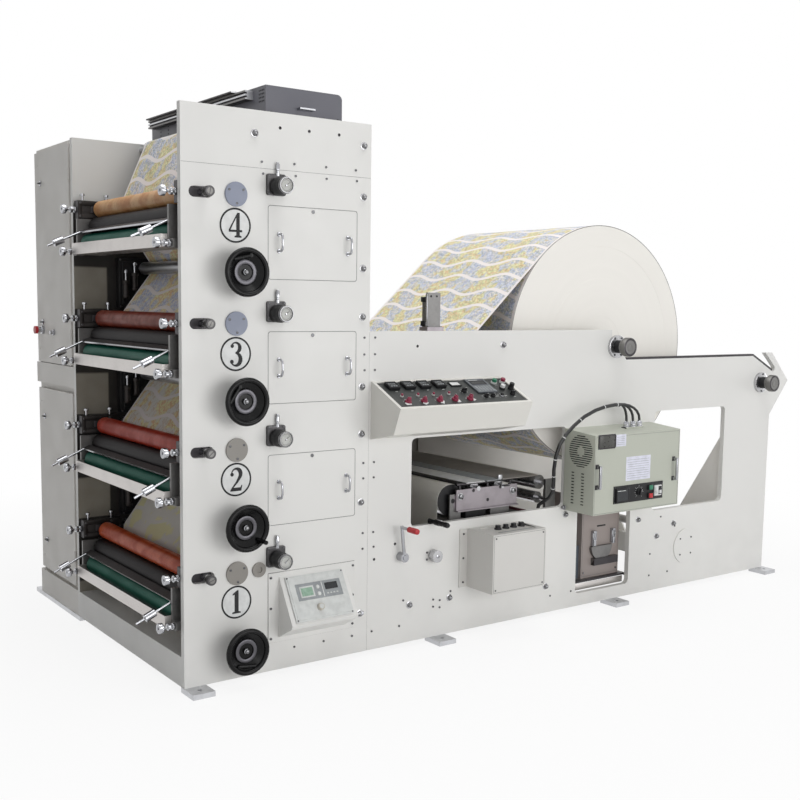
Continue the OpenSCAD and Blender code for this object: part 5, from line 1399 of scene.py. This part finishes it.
def web_points():
    """Points of the web's middle along its whole run, in millimetres."""
    turns, points = web_turns(), []
    for i, ((x, z), radius, side) in enumerate(turns):
        arriving = run_heading(turns[max(i - 1, 0)], turns[max(i, 1)])
        leaving = run_heading(turns[min(i, len(turns) - 2)], turns[min(i + 1, len(turns) - 1)])
        sweep = (leaving - arriving + pi) % (2 * pi) - pi
        steps = 0 if i in (0, len(turns) - 1) else max(1, ceil(abs(sweep) / radians(4)))
        for k in range(steps + 1):
            heading = arriving + (sweep * k / steps if steps else 0) if i else leaving
            reach = side * (radius + WEB_GAP + WEB_THICKNESS / 2)
            points.append((x - reach * sin(heading), z + reach * cos(heading)))
    return points


def run_lengths(points):
    lengths = [0]
    for (x0, z0), (x1, z1) in zip(points, points[1:]):
        lengths.append(lengths[-1] + hypot(x1 - x0, z1 - z0) / 1000)
    return lengths


def make_paper_web():
    strips = 10
    row = strips + 1
    widths = [ROLLER_Y[0] + (ROLLER_Y[1] - ROLLER_Y[0]) * k / strips for k in range(row)]
    mesh = bpy.data.meshes.new("printed_web")
    quads = [(i * row + k, (i + 1) * row + k, (i + 1) * row + k + 1, i * row + k + 1)
             for i in range(len(WEB_RUN) - 1) for k in range(strips)]
    mesh.from_pydata([at(x, y, z) for x, z in WEB_RUN for y in widths], [], quads)
    run = mesh.uv_layers.new(name="run")
    for loop in mesh.loops:
        i, k = divmod(loop.vertex_index, row)
        run.data[loop.index].uv = (WEB_LENGTHS[i], widths[k] / 1000)
    web = coat(linked("printed_web", mesh), WEB_PAPER)
    take(web)
    thick = web.modifiers.new("thickness", "SOLIDIFY")
    thick.thickness = WEB_THICKNESS / 1000
    thick.offset = 0
    bpy.ops.object.modifier_apply(modifier=thick.name)
    settle(web, "printed_web", replaces=("paper_web",))


def make_paper_roll():
    """The wound roll: a full cylinder with its core bored out, stepped faintly where the layers drifted."""
    x, z = ROLL_AT
    half = (ROLLER_Y[1] - ROLLER_Y[0]) / 2
    roll = prism(256, ROLL_RADIUS, -half, half)
    edit(roll)
    for end in (-1, 1):
        for inset, step in ((0.0038, 0), (0.1077, 0), (0.0004, -0.001), (0.17, 0), (0.0004, 0.0008), (0.2, 0),
                            (0.0004, -0.0006), (0.103, 0), (0.0005, 0.004), (0.012, 0), (0.0005, -0.012),
                            (0.0075, 0)):
            pick_faces(roll, lambda c, n: n.z * end > 0.9 and c.xy.length < 0.0001)
            bpy.ops.mesh.inset(thickness=inset, depth=step)
    pick_faces(roll, lambda c, n: abs(n.z) > 0.9 and c.xy.length < 0.0001)
    bpy.ops.mesh.bridge_edge_loops()
    leave_closed(merge=False)
    take(roll)
    roll.matrix_world = Matrix.Translation(at(x, sum(ROLLER_Y) / 2, z)) @ FRONT
    apply_place()
    mesh = coat(roll, (WEB_PAPER, ROLL_EDGE, CARDBOARD, ROLL_RIM)).data
    run = mesh.uv_layers.new(name="run")
    start = run_heading(*web_turns()[-2:]) + pi / 2
    for face in mesh.polygons:
        centre = press_mm(face.center)
        far = hypot(centre.x - x, centre.z - z)
        outer = far > ROLL_RADIUS - 1 and abs(face.normal.y) < 0.5
        face.material_index = 0 if outer else 3 if far > ROLL_RADIUS - 4 else 2 if far < 52 else 1
        around = atan2(centre.z - z, centre.x - x)
        for loop in face.loop_indices:
            point = press_mm(mesh.vertices[mesh.loops[loop].vertex_index].co)
            angle = atan2(point.z - z, point.x - x)
            angle += 2 * pi * round((around - angle) / (2 * pi))
            gone = (start - angle) % (2 * pi) if outer else 0
            if outer and abs(gone - (start - around) % (2 * pi)) > pi:
                gone += 2 * pi if gone < pi else -2 * pi
            run.data[loop].uv = (WEB_LENGTHS[-1] + gone * ROLL_RADIUS / 1000, point.y / 1000)
    settle(roll, "wound_roll", "rewind_roll", ("paper_roll",))


WEB_RUN = web_points()
WEB_LENGTHS = run_lengths(WEB_RUN)
WEB_PAPER = printed_web([min((hypot(x - NIP_X, z - height), length)
                             for (x, z), length in zip(WEB_RUN, WEB_LENGTHS))[1] for height in STATIONS])

set_camera()
set_world()
set_floor()
add_softbox("key_softbox", (3200, -7000, 1900), (1900, 300, 1000), (5, 3.4), 176)
add_softbox("front_softbox", (-900, -6800, 2300), (900, 600, 1300), (4, 3), 72)
add_softbox("left_softbox", (-4600, -1800, 3000), (300, 800, 1200), (3.0, 3.0), 2)
add_softbox("top_softbox", (900, 0, 6200), (1600, 500, 1200), (5.0, 4.0), 210)
add_softbox("right_softbox", (7400, 100, 1500), (3400, 1000, 700), (2.6, 2.2), 60)
paint_nodes()
for make in (make_paper_web, make_paper_roll, fasteners, station_numbers, plate_seams, tower_fittings,
             slide_blocks, drive_covers, adjusters, console_panel, tension_panel, treater_details,
             control_box_details, frame_fittings, service_details, window_table, drive_side_panels,
             service_pan, hood_vents, sensor_details, cabinet_details):
    make()

bpy.context.scene.view_settings.view_transform = "Standard"
